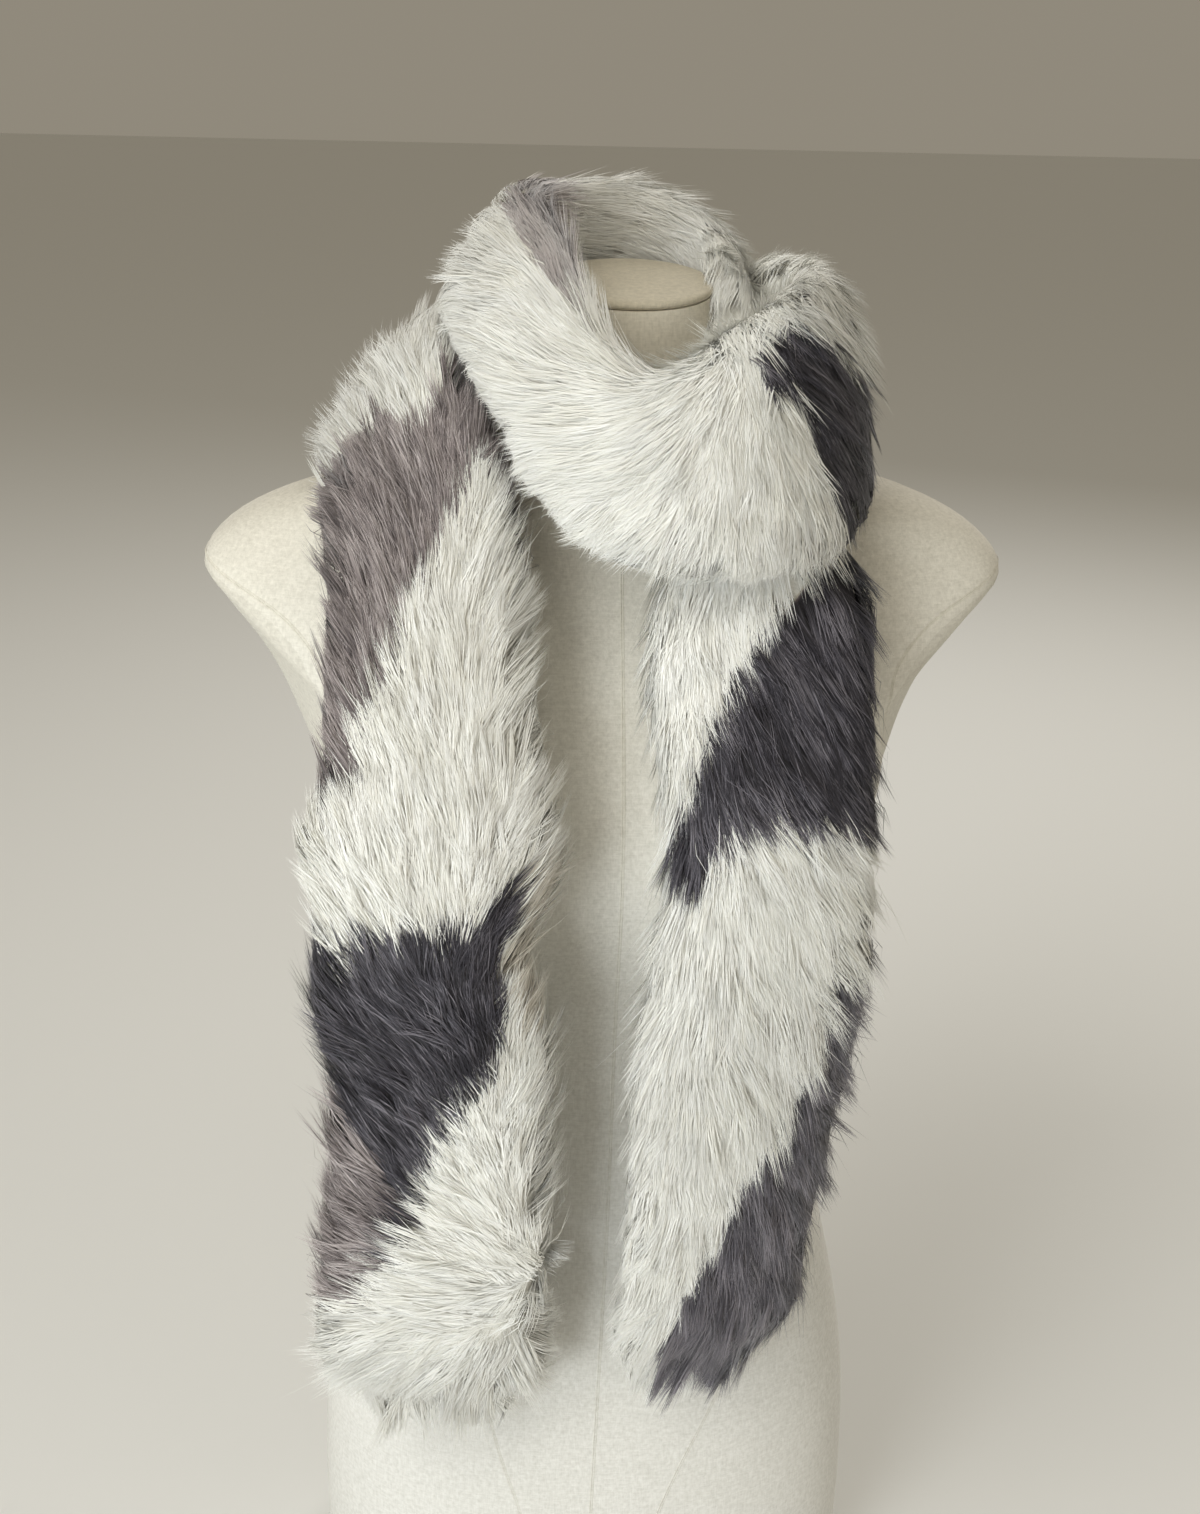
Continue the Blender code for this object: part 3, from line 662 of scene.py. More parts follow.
def push_out(rings, first, last, tree):
    """Moves what is inside the solid, or nearer than the gap, out to the gap. It looks at each point of the
    rings from first to last, and at the middle of each face and edge. Rings beside a moved one follow."""
    count = rings.shape[1]
    push = np.zeros_like(rings)
    for k in range(first, last + 1):
        for i in range(count):
            j = (i + 1) % count
            tests = [((k, i),), ((k, i), (k, j))]
            if k < last:
                tests += [((k, i), (k + 1, i)), ((k, i), (k, j), (k + 1, j), (k + 1, i))]
            for owners in tests:
                out = way_out(sum(rings[owner] for owner in owners) / len(owners), tree)
                for owner in owners:
                    if out @ out > push[owner] @ push[owner]:
                        push[owner] = out
    spread = push.copy()
    for reach, share in enumerate(PRESS_SPREAD, 1):
        for shift in (-reach, reach):
            shared = np.roll(push, shift, axis=0) * share
            larger = (shared**2).sum(axis=2) > (spread**2).sum(axis=2)
            spread[larger] = shared[larger]
    rings += spread


def way_out(point, tree):
    """How far a point has to move to be the gap away from the solid: nothing if it already is."""
    near, normal, _, distance = tree.find_nearest(Vector(point))
    above = (Vector(point) - near).dot(normal)
    if distance > DEEPEST_PRESS or above >= REST_GAP:
        return np.zeros(3)
    return np.array(normal) * (REST_GAP - above)


def settle_scarf(rings, starts, form_trees):
    """Presses the layers apart, from the form outwards."""
    names = list(SCARF_ROUTE)

    def span(run):
        return starts[names.index(run[0])], starts[names.index(run[-1]) + 1]

    for _ in range(SETTLE_ROUNDS):
        for tree in form_trees:
            push_out(rings, 0, len(rings) - 1, tree)
        for moved, carrier in SCARF_LAYERS:
            first, last = span(carrier)
            push_out(rings, *span(moved), tree_of_rings(rings[first : last + 1]))
    push_out(rings, 0, len(rings) - 1, form_trees[0])


def settled_rings():
    """The tube's rings as the solids hold them, where each stretch starts, and each ring's place along."""
    rings, starts = scarf_grid()
    middles = rings.mean(axis=1)
    steps = np.linalg.norm(np.diff(middles, axis=0), axis=1)
    along = np.concatenate([[0], np.cumsum(steps)])
    form_trees = [mesh_tree(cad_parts[name].data) for name in ("form_torso", "form_neck_cap")]
    settle_scarf(rings, starts, form_trees)
    return rings, starts, along


def touched(rings, along):
    """The rings with the small changes to their outline."""
    outwards = rings - rings.mean(axis=1, keepdims=True)
    outwards /= np.linalg.norm(outwards, axis=2, keepdims=True)
    degrees = np.arange(rings.shape[1]) * 360 / rings.shape[1]
    for place, angle, reach, spread, distance in TOUCHES:
        turn = (degrees - angle + 180) % 360 - 180
        share = np.exp(-((along - place) / reach)[:, None] ** 2 - (turn / spread)[None, :] ** 2)
        rings = rings + outwards * (share * distance)[:, :, None]
    for end, angle, spread, reach, distance in HEM_DROPS:
        edge, inner = (0, 1) if end == "first" else (-1, -2)
        down = rings[edge].mean(axis=0) - rings[inner].mean(axis=0)
        down /= np.linalg.norm(down)
        turn = (degrees - angle + 180) % 360 - 180
        near = np.clip(1 - np.abs(along - along[edge]) / reach, 0, 1) ** 2
        share = near[:, None] * np.exp(-(turn / spread) ** 2)[None, :]
        rings = rings + down * (share * distance)[:, :, None]
    return rings


def with_ends(rings):
    """The rings with a few more past each hem, each smaller than the last, for the pile that hangs over."""
    before = []
    after = []
    for ends, last, inner in ((before, rings[0], rings[1]), (after, rings[-1], rings[-2])):
        middle = last.mean(axis=0)
        step = middle - inner.mean(axis=0)
        for k in range(1, END_RINGS + 1):
            ends.append(middle + step * k + (last - middle) * END_SHRINK**k)
    return np.array(before[::-1] + list(rings) + after)


def cubic(t):
    """The weights of the four nearest rows for a smooth curve through them."""
    return np.stack([
        -0.5 * t + t**2 - 0.5 * t**3,
        1 - 2.5 * t**2 + 1.5 * t**3,
        0.5 * t + 2 * t**2 - 1.5 * t**3,
        -0.5 * t**2 + 0.5 * t**3,
    ])


class Tube:
    """The tube read between its rings. s is a ring's number and a is a point's number round it."""

    def __init__(self, rings, along):
        self.points = rings.shape[1]
        self.along = along
        self.outer = with_ends(rings)
        middles = self.outer.mean(axis=1, keepdims=True)
        self.pelt = middles + (self.outer - middles) * PELT_SHARE
        round_step = (np.roll(self.outer, -1, axis=1) - np.roll(self.outer, 1, axis=1)) / 2
        along_step = np.gradient(self.outer, axis=0)
        self.steps = np.stack(
            [np.linalg.norm(along_step, axis=2), np.linalg.norm(round_step, axis=2)], axis=2
        )
        self.normal = np.cross(round_step, along_step)
        self.normal /= np.linalg.norm(self.normal, axis=2, keepdims=True)

    def read(self, grid, s, a):
        s = np.clip(s + END_RINGS, 1.0, len(grid) - 2.001)
        row = s.astype(int)
        column = np.floor(a).astype(int)
        row_weights = cubic(s - row)
        column_weights = cubic(a - column)
        found = 0
        for m in range(4):
            for n in range(4):
                weight = (row_weights[m] * column_weights[n])[:, None]
                found = found + weight * grid[row + m - 1, (column + n - 1) % self.points]
        return found

    def spacing(self, s, a):
        """How many metres one ring and one point are there."""
        return np.maximum(self.read(self.steps, s, a), LEAST_STEPS)

    def place(self, s, a, rise):
        """A point of the pile: rise 0 on the pelt, 1 where the pile ends."""
        pelt = self.read(self.pelt, s, a)
        return pelt + (self.read(self.outer, s, a) - pelt) * rise[:, None]

    def metres(self, s):
        """How far along the route a ring number is, in metres. It goes on past the hems."""
        last = len(self.along) - 1
        inside = np.interp(s, np.arange(last + 1), self.along)
        before = np.minimum(s, 0) * (self.along[1] - self.along[0])
        after = np.maximum(s - last, 0) * (self.along[-1] - self.along[-2])
        return inside + before + after

    def degrees(self, a):
        return (a * 360 / self.points) % 360


def nap(along, degrees):
    """Which way the pile lies there, in radians from the route's direction."""
    table = np.array(NAP, float)
    quarter = degrees / 90
    first = np.floor(quarter).astype(int) % 4
    share = quarter - np.floor(quarter)
    share = share * share * (3 - 2 * share)
    sines = 0
    cosines = 0
    for c in range(4):
        weight = (first == c) * (1 - share) + ((first + 1) % 4 == c) * share
        turn = np.radians(np.interp(along, table[:, 0], table[:, 1 + c]))
        sines = sines + weight * np.sin(turn)
        cosines = cosines + weight * np.cos(turn)
    return np.arctan2(sines, cosines)


def drift(along, degrees):
    """The slow turns of the combed pile, from -1 to 1."""
    round_turn = np.radians(degrees)
    return (
        0.5 * np.sin(along * 95 + 1.7 * np.sin(round_turn) + 0.4)
        + 0.3 * np.sin(along * 151 + 2 * round_turn + 2.1)
        + 0.2 * np.sin(along * 263 - 3 * round_turn + 4.0)
    )


def inside_patch(corners, along, degrees):
    """Which places lie inside a patch, on the tube as it would lie unrolled."""
    inside = np.zeros(len(along), bool)
    for turn in (0, -360):
        d = degrees + turn
        odd = np.zeros(len(along), bool)
        for (v0, d0), (v1, d1) in zip(corners, corners[1:] + corners[:1]):
            if d0 == d1:
                continue
            crosses = (d0 > d) != (d1 > d)
            odd ^= crosses & (along < v0 + (d - d0) / (d1 - d0) * (v1 - v0))
        inside |= odd
    return inside


def tones(along, degrees):
    """The lowest and highest place on the strip of colours for each place on the tube."""
    low = np.full(len(along), TONES["white"][0])
    high = np.full(len(along), TONES["white"][1])
    for name, corners in PATCHES:
        here = inside_patch(corners, along, degrees)
        low[here], high[here] = TONES[name]
    return low, high


def open_at(place, out, trees):
    """0 where another solid lies on the place, a little less than 1 under one, and 1 in the open."""
    for tree in trees:
        near, face, _, distance = tree.find_nearest(place, TOUCH_REACH)
        if near is not None and (distance < TOUCH_NEAR or (place - near).dot(face) < 0):
            return 0.0
    if any(tree.ray_cast(place, out, SHELTER_REACH)[0] for tree in trees):
        return SHELTERED_SHARE
    return 1.0


def openness(tube, shape, trees):
    """How open each point of the solids' rings is."""
    found = np.ones(shape[:2])
    for row, column in np.ndindex(*found.shape):
        out = Vector(tube.normal[END_RINGS + row, column])
        place = Vector(tube.outer[END_RINGS + row, column]) + out * TOUCH_TEST
        found[row, column] = open_at(place, out, trees)
    return found


def blurred(field):
    """Each point's share averaged with its neighbours', along the tube and round it."""
    for _ in range(OPEN_BLUR_ROUNDS):
        padded = np.concatenate([field[:1], field, field[-1:]])
        field = (padded[:-2] + 2 * field + padded[2:]) / 4
        field = (np.roll(field, 1, axis=1) + 2 * field + np.roll(field, -1, axis=1)) / 4
    return field


def choose_tufts(tube, open_share, first, last, count):
    """Random places for the tufts of one stretch, more of them where the pile shows."""
    area = tube.steps[END_RINGS + first : END_RINGS + last].prod(axis=2)
    weight = area * (HIDDEN_SHARE + (1 - HIDDEN_SHARE) * open_share[first:last])
    weight = weight.ravel() / weight.sum()
    cells = RANDOM.choice(len(weight), size=count, p=weight)
    row, column = np.divmod(cells, tube.points)
    return first + row + RANDOM.random(count), column + RANDOM.random(count)


def combed_path(tube, s, a, lean):
    """Where the pile goes over the tube: ring and point numbers, (node, 2, tuft), at a strand's nodes."""
    path = [(s, a)]
    for low, high in zip(PATH_STEPS, PATH_STEPS[1:]):
        turn = nap(tube.metres(s), tube.degrees(a)) + lean
        step = tube.spacing(s, a)
        length = STRAND_LENGTH * (high - low)
        s = s + length * np.cos(turn) / step[:, 0]
        a = a + length * np.sin(turn) / step[:, 1]
        path.append((s, a))
    path = np.array(path)
    return np.array([path[PATH_STEPS.index(t)] for t in STRAND_NODES])


def loosen(points, normals, keep, tip_lift, longer):
    """Changes the points: strands run straight on where the tube curves away, and some tips lift."""
    reach = points[:, 1] - points[:, 0]
    reach -= normals * (reach * normals).sum(axis=1, keepdims=True) * LEVELLED_SHARE
    stretch = (STRAND_NODES[2] - STRAND_NODES[1]) / (STRAND_NODES[1] - STRAND_NODES[0])
    shift = points[:, 1] + reach * stretch - points[:, 2]
    outwards = (shift * normals).sum(axis=1) > 0
    points[:, 2] += shift * (np.minimum(keep, 1) * outwards)[:, None]
    points[:, 1] += normals * tip_lift[:, None] * MIDDLE_LIFT
    points[:, 2] += normals * tip_lift[:, None]
    reach /= np.linalg.norm(reach, axis=1, keepdims=True) + TINY
    points[:, 2] += reach * longer[:, None]


def lay_tufts(tube, open_share, first, last, count):
    """The tufts of one stretch: the way of each over the tube, and its own height, length and shade."""
    s, a = choose_tufts(tube, open_share, first, last, count)
    along = tube.metres(s)
    degrees = tube.degrees(a)
    lean = TUFT_LEAN * RANDOM.standard_normal(count) + DRIFT_LEAN * drift(along, degrees)
    row = np.clip(s.astype(int), 0, len(open_share) - 1)
    height, height_spread, height_drift = TUFT_RISE
    rise = height + height_spread * RANDOM.standard_normal(count)
    rise = rise + height_drift * drift(along + RISE_DRIFT_SHIFT, degrees)
    length = RANDOM.uniform(*TUFT_LENGTHS, count)
    slow_shade = DRIFT_SHADE * drift(along * SHADE_DRIFT_STRETCH + SHADE_DRIFT_SHIFT, degrees)
    return SimpleNamespace(
        count=count,
        path=combed_path(tube, s, a, np.radians(lean)),
        step=tube.spacing(s, a),
        open=open_share[row, a.astype(int) % tube.points],
        rise=rise,
        length=length,
        shade=TUFT_SHADE * RANDOM.standard_normal(count) + slow_shade,
    )


def part_locks(tufts):
    """The locks of the tufts: each one's tuft, place in it, turn, shade, lift and stiffness."""
    count = tufts.count * LOCKS_PER_TUFT
    tuft = np.repeat(np.arange(tufts.count), LOCKS_PER_TUFT)
    free = SHELTERED_LIFT + (1 - SHELTERED_LIFT) * tufts.open[tuft]
    locks = SimpleNamespace(count=count, tuft=tuft)
    locks.offset = RANDOM.normal(0, TUFT_RADIUS, (count, 2)) / tufts.step[tuft]
    locks.turn = np.radians(RANDOM.normal(0, LOCK_LEAN, count))
    locks.shade = tufts.shade[tuft] + LOCK_SHADE * RANDOM.standard_normal(count)
    locks.tone_place = np.clip(RANDOM.normal(*TONE_PLACE, count), *TONE_PLACE_LIMITS)
    locks.tilt = RANDOM.normal(0, NORMAL_SPREAD, (count, 2))
    chance = RANDOM.random(tufts.count)[tuft] + LIFT_ALONE * RANDOM.random(count)
    locks.lifted = chance < (1 + LIFT_ALONE) * LIFTED_SHARE
    lift = np.minimum(np.abs(RANDOM.standard_normal(count)), MOST_LIFT) * TIP_LIFT
    locks.lift = np.where(locks.lifted, lift, 0.0) * free
    locks.stiffness = RANDOM.uniform(*STIFFNESS_RANGE, count) * free
    return locks


def part_strands(tufts, locks):
    """The strands of the locks: each one's lock and tuft, place, turn, length, height and gather."""
    count = locks.count * STRANDS_PER_LOCK
    lock = np.repeat(np.arange(locks.count), STRANDS_PER_LOCK)
    tuft = locks.tuft[lock]
    in_open = tufts.open[tuft] > OPEN_ENOUGH
    strands = SimpleNamespace(count=count, lock=lock, tuft=tuft)
    strands.spread = RANDOM.normal(0, LOCK_RADIUS, (count, 2)) / tufts.step[tuft]
    strands.turn = locks.turn[lock] + np.radians(RANDOM.normal(0, STRAY_LEAN, count))
    flyaway = (RANDOM.random(count) < FLYAWAY_SHARE) & in_open
    under = RANDOM.random(count) < UNDER_SHARE
    strands.length = tufts.length[tuft] * RANDOM.uniform(*LENGTH_RANGE, count)
    strands.length[under] *= UNDER_LENGTH
    strands.length[flyaway] *= RANDOM.uniform(*FLYAWAY_LENGTHS, flyaway.sum())
    strands.turn[flyaway] *= FLYAWAY_TURN
    rise = tufts.rise[tuft] + STRAND_RISE * RANDOM.standard_normal(count)
    rise[under] *= RANDOM.uniform(*UNDER_RISES, under.sum())
    strands.rise = np.clip(rise, LEAST_RISE, np.where(in_open, *MOST_RISE))
    strands.rise[flyaway] = RANDOM.uniform(*FLYAWAY_RISES, flyaway.sum())
    share = LOCK_GATHER * np.where(locks.lifted[lock], 1.0, FLAT_GATHER)
    strands.gather = share * RANDOM.uniform(*GATHER_RANGE, count)
    strands.gather[flyaway] = FLYAWAY_GATHER
    strands.flyaway = flyaway
    return strands


def strand_places(tufts, locks, strands):
    """Ring and point numbers of each strand's nodes."""
    root = tufts.path[0][:, strands.tuft].T
    step = tufts.step[strands.tuft]
    ahead = (tufts.path[-1] - tufts.path[0])[:, strands.tuft].T * step
    sideways = ahead[:, ::-1] * (-1, 1) / step
    places = []
    for number, t in enumerate(STRAND_NODES):
        travel = (tufts.path[number] - tufts.path[0])[:, strands.tuft].T * strands.length[:, None]
        place = root + travel
        place = place + locks.offset[strands.lock] * (1 - TUFT_GATHER * t)
        place = place + strands.spread * (1 - strands.gather * t**GATHER_POWER)[:, None]
        turned = np.tan(strands.turn) * t * (ROOT_TURN + (1 - ROOT_TURN) * t) * strands.length
        places.append(place + sideways * turned[:, None])
    return places


def grow_pile(tube, open_share, first, last, count):
    """The strands of one stretch: points (strand, node, xyz), normals, widths, tones and tilts."""
    tufts = lay_tufts(tube, open_share, first, last, count // (LOCKS_PER_TUFT * STRANDS_PER_LOCK))
    locks = part_locks(tufts)
    strands = part_strands(tufts, locks)
    lock = strands.lock
    places = strand_places(tufts, locks, strands)
    root, middle, tip = places
    points = []
    for place, t in zip(places, STRAND_NODES):
        rise = strands.rise * (1 - (1 - t) ** RISE_POWER)
        points.append(tube.place(place[:, 0], place[:, 1], rise))
    points = np.stack(points, axis=1)
    normals = tube.read(tube.normal, middle[:, 0], middle[:, 1])
    normals /= np.linalg.norm(normals, axis=1, keepdims=True)
    at_hem = (tip[:, 0] < 1) | (tip[:, 0] > len(tube.along) - 2)
    keep = locks.stiffness[lock] * np.where(at_hem, HEM_STIFFNESS, STIFFNESS)
    longer = HEM_LENGTH * at_hem * strands.length * locks.stiffness[lock]
    loosen(points, normals, keep, locks.lift[lock] * strands.length, longer)

    tested = root + (tip - root) * locks.tone_place[lock][:, None]
    low, high = tones(tube.metres(tested[:, 0]), tube.degrees(tested[:, 1]))
    own_shade = STRAND_SHADE * RANDOM.standard_normal(strands.count)
    shade = np.clip(0.5 + LOCK_SHADE_SHARE * locks.shade[lock] + own_shade, 0, 1)
    widths = STRAND_WIDTH * RANDOM.uniform(*WIDTH_RANGE, strands.count)
    widths[strands.flyaway] *= FLYAWAY_WIDTH
    tilt = locks.tilt[lock] + RANDOM.normal(0, NORMAL_SPREAD / 2, (strands.count, 2))
    return points, normals, widths, low + (high - low) * shade, tilt


def strand_mesh(name, points, normals, widths, tone, tilt):
    """One joined mesh of thin pointed ribbons, shaded by the surface that they lie on."""
    count = len(points)
    forward = points[:, 2] - points[:, 0]
    side = np.cross(forward, normals)
    side /= np.linalg.norm(side, axis=1, keepdims=True) + TINY
    up = np.cross(side, forward)
    up /= np.linalg.norm(up, axis=1, keepdims=True) + TINY
    roll = np.radians(RANDOM.uniform(-RIBBON_ROLL, RIBBON_ROLL, count))[:, None]
    half = (side * np.cos(roll) + up * np.sin(roll)) * widths[:, None] / 2
    corners = np.stack([points[:, 0], points[:, 1] - half, points[:, 1] + half, points[:, 2]], axis=1)
    pattern = np.array(RIBBON_CORNERS)
    mesh = bpy.data.meshes.new(name)
    mesh.vertices.add(count * 4)
    mesh.vertices.foreach_set("co", corners.ravel())
    mesh.loops.add(count * 6)
    mesh.loops.foreach_set("vertex_index", (np.arange(count)[:, None] * 4 + pattern).ravel())
    mesh.polygons.add(count * 2)
    mesh.polygons.foreach_set("loop_start", np.arange(0, count * 6, 3))
    mesh.update(calc_edges=True)
    mesh.shade_smooth()
    along = forward / (np.linalg.norm(forward, axis=1, keepdims=True) + TINY)
    across_pile = np.cross(along, normals)
    shading = normals + across_pile * tilt[:, :1] + along * (SHADING_LEAN + tilt[:, 1:])
    shading /= np.linalg.norm(shading, axis=1, keepdims=True)
    mesh.normals_split_custom_set_from_vertices(np.repeat(shading, 4, axis=0))
    uv = np.empty((count, 4, 2))
    uv[:, :, 0] = tone[:, None] + np.array([0, -1, 1, 0]) * TONE_WIDTH
    uv[:, :, 1] = 0.02 + 0.96 * np.array(STRAND_NODES)[[0, 1, 1, 2]]
    layer = mesh.uv_layers.new(name="OFBake")
    layer.data.foreach_set("uv", uv[:, pattern].ravel())
    return mesh


def pelt_mesh(name, tube, first, last):
    """The pelt of one stretch: an open tube, with the patches' tones on its points."""
    rings = np.linspace(first, last, int((last - first) / PELT_RING_STEP) + 1)
    round_places = np.arange(PELT_RING_POINTS) * tube.points / PELT_RING_POINTS
    s = np.repeat(rings, PELT_RING_POINTS)
    a = np.tile(round_places, len(rings))
    points = tube.read(tube.pelt, s, a)
    mesh = smooth_mesh(name, points.tolist(), ring_faces(len(rings), PELT_RING_POINTS))
    low, high = tones(tube.metres(s), tube.degrees(a))
    shade = mesh.attributes.new("tone", "FLOAT", "POINT")
    shade.data.foreach_set("value", (low + high) / 2)
    return mesh


def add_piece(name, mesh, material):
    piece = bpy.data.objects.new(name, mesh)
    bpy.context.scene.collection.objects.link(piece)
    mesh.materials.clear()
    mesh.materials.append(material)
    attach(piece, BODY)
    return piece


class Shader:
    """A material's node tree, built line by line."""

    def __init__(self, name, roughness, sheen=0.0, sheen_roughness=0.5, specular=0.5):
        self.material = bpy.data.materials.new(name)
        self.material.use_nodes = True
        self.tree = self.material.node_tree
        self.shader = self.tree.nodes["Principled BSDF"]
        self.shader.inputs["Roughness"].default_value = roughness
        self.shader.inputs["Sheen Weight"].default_value = sheen
        self.shader.inputs["Sheen Roughness"].default_value = sheen_roughness
        self.shader.inputs["Specular IOR Level"].default_value = specular

    def node(self, kind, **values):
        made = self.tree.nodes.new(kind)
        for name, value in values.items():
            setattr(made, name, value)
        return made

    def link(self, output, socket):
        self.tree.links.new(output, socket)

    def coordinates(self, scale):
        """Places on the object in metres, times a scale for each axis."""
        place = self.node("ShaderNodeTexCoord")
        mapping = self.node("ShaderNodeMapping")
        mapping.inputs["Scale"].default_value = scale
        self.link(place.outputs["Object"], mapping.inputs["Vector"])
        return mapping.outputs["Vector"]

    def noise(self, scale, size, detail=2.0):
        noise = self.node("ShaderNodeTexNoise")
        noise.inputs["Scale"].default_value = size
        noise.inputs["Detail"].default_value = detail
        self.link(self.coordinates(scale), noise.inputs["Vector"])
        return noise.outputs["Fac"]

    def math(self, operation, first, second):
        made = self.node("ShaderNodeMath", operation=operation)
        for socket, value in zip(made.inputs, (first, second)):
            if isinstance(value, (int, float)):
                socket.default_value = value
            else:
                self.link(value, socket)
        return made.outputs["Value"]

    def ramp(self, factor, stops):
        made = self.node("ShaderNodeValToRGB")
        ramp = made.color_ramp
        while len(ramp.elements) < len(stops):
            ramp.elements.new(0.5)
        for element, (position, colour) in zip(ramp.elements, stops):
            element.position = position
            element.color = (*colour, 1.0)
        self.link(factor, made.inputs["Fac"])
        return made.outputs["Color"]

    def blend(self, factor, first, second, kind="MIX"):
        made = self.node("ShaderNodeMix", data_type="RGBA", blend_type=kind)
        if isinstance(factor, (int, float)):
            made.inputs[0].default_value = factor
        else:
            self.link(factor, made.inputs[0])
        self.link(first, made.inputs[6])
        self.link(second, made.inputs[7])
        return made.outputs[2]

    def colour(self, output):
        self.link(output, self.shader.inputs["Base Color"])

    def bump(self, height, strength, distance):
        made = self.node("ShaderNodeBump")
        made.inputs["Strength"].default_value = strength
        made.inputs["Distance"].default_value = distance
        self.link(height, made.inputs["Height"])
        self.link(made.outputs["Normal"], self.shader.inputs["Normal"])


def fur_material(name):
    """Colour by the strand's tone and by how far up the strand it is: darker at the root, partly the fur's
    own tipping and partly painted shade deep in the pile.
    """
    s = Shader(name, roughness=0.55, sheen=0.22, sheen_roughness=0.45, specular=0.35)
    place = s.node("ShaderNodeUVMap", uv_map="OFBake")
    parts = s.node("ShaderNodeSeparateXYZ")
    s.link(place.outputs["UV"], parts.inputs["Vector"])
    roots = s.ramp(parts.outputs["X"], ROOT_COLOURS)
    tips = s.ramp(parts.outputs["X"], TIP_COLOURS)
    up = s.node("ShaderNodeMapRange", interpolation_type="SMOOTHSTEP")
    up.inputs["From Min"].default_value = COLOUR_ENDS[0]
    up.inputs["From Max"].default_value = COLOUR_ENDS[1]
    s.link(parts.outputs["Y"], up.inputs["Value"])
    s.colour(s.blend(up.outputs["Result"], roots, tips))
    return s.material


def pelt_material(name):
    """The pelt between the strands: the colours of their roots, partly painted shade deep in the pile, with
    a fine grain.
    """
    s = Shader(name, roughness=0.9)
    tone = s.node("ShaderNodeAttribute", attribute_name="tone")
    grain = s.noise((1, 1, 1), PELT_GRAIN_SCALE)
    place = s.math("ADD", tone.outputs["Fac"], s.math("MULTIPLY", s.math("SUBTRACT", grain, 0.5), 0.08))
    s.colour(s.ramp(place, ROOT_COLOURS))
    s.bump(grain, 0.6, 0.001)
    return s.material


def canvas_material(name, dark, light):
    """A plain woven cover: threads both ways, small slubs and a slow change of shade, with painted warm
    shade darkening it towards the neck.
    """
    s = Shader(name, roughness=0.88, sheen=0.12, sheen_roughness=0.4, specular=0.25)
    upright = s.noise((1.0, 1.0, 0.10), THREAD_SCALE)
    level = s.noise((0.12, 0.12, 1.0), THREAD_SCALE)
    threads = s.math("MULTIPLY", s.math("ADD", upright, level), 0.5)
    specks = s.noise((1.0, 1.0, 1.0), SPECK_SCALE, 4.0)
    slow = s.noise((1.0, 1.0, 1.0), SLOW_SCALE)
    shade = s.math("ADD", s.math("MULTIPLY", threads, 0.45), s.math("MULTIPLY", specks, 0.40))
    shade = s.math("ADD", shade, s.math("MULTIPLY", slow, 0.15))
    cover = s.ramp(shade, list(zip(WEAVE_ENDS, (dark, light))))
    height = s.node("ShaderNodeSeparateXYZ")
    s.link(s.coordinates((1.0, 1.0, 1.0)), height.inputs["Vector"])
    # Painted shade: darker and warmer towards the neck, where the scarf shades the cover.
    neck_shade = s.ramp(height.outputs["Z"], NECK_SHADE_TINT)
    s.colour(s.blend(1.0, cover, neck_shade, "MULTIPLY"))
    s.bump(s.math("ADD", threads, s.math("MULTIPLY", specks, 0.8)), 0.35, 0.0004)
    return s.material


def torso_mesh(name):
    """The form's cover, with more and finer rings than its solid."""
    positions = []
    for row, (low, high) in enumerate(zip(FORM_SECTIONS, FORM_SECTIONS[1:])):
        count = math.ceil((high[0] - low[0]) / TORSO_RING_SPACING)
        positions.extend(row + i / count for i in range(count))
    positions.append(len(FORM_SECTIONS) - 1)
    rings = [form_ring(section) for section in smooth_rows(FORM_SECTIONS, positions)]
    count = TORSO_RING_POINTS
    points = [p for ring in rings for p in ring]
    ends = [tuple(range(count))[::-1], tuple(range(len(points) - count, len(points)))]
    mesh = smooth_mesh(name, points, ends + ring_faces(len(rings), count))
    mesh.set_sharp_from_angle(angle=SHARP_ANGLE)
    return mesh


def seam_path(table, tree, side):
    """Points and normals on the cover along a seam on its front (side -1) or its back (side 1)."""
    table = np.array(table)
    steps = np.concatenate([[0], np.cumsum(np.linalg.norm(np.diff(table, axis=0), axis=1))])
    rows = np.interp(np.arange(0, steps[-1], SEAM_STEP), steps, np.arange(len(table)))
    found = []
    for x, z in smooth_rows(table, rows):
        place, normal, _, _ = tree.ray_cast(Vector((x, side, z)), Vector((0, -side, 0)))
        found.append((place, normal))
    return found


def on_armhole(tree, side, reach, angle):
    """The cover's point and normal at a place in the armhole: reach 0 in the middle and 1 on its seam."""
    y = ARMHOLE_MIDDLE[0] + ARMHOLE_HALF_SIZE[0] * reach * math.cos(angle)
    z = ARMHOLE_MIDDLE[1] + ARMHOLE_HALF_SIZE[1] * reach * math.sin(angle)
    place, normal, _, _ = tree.ray_cast(Vector((side, y, z)), Vector((-side, 0, 0)))
    return place, normal


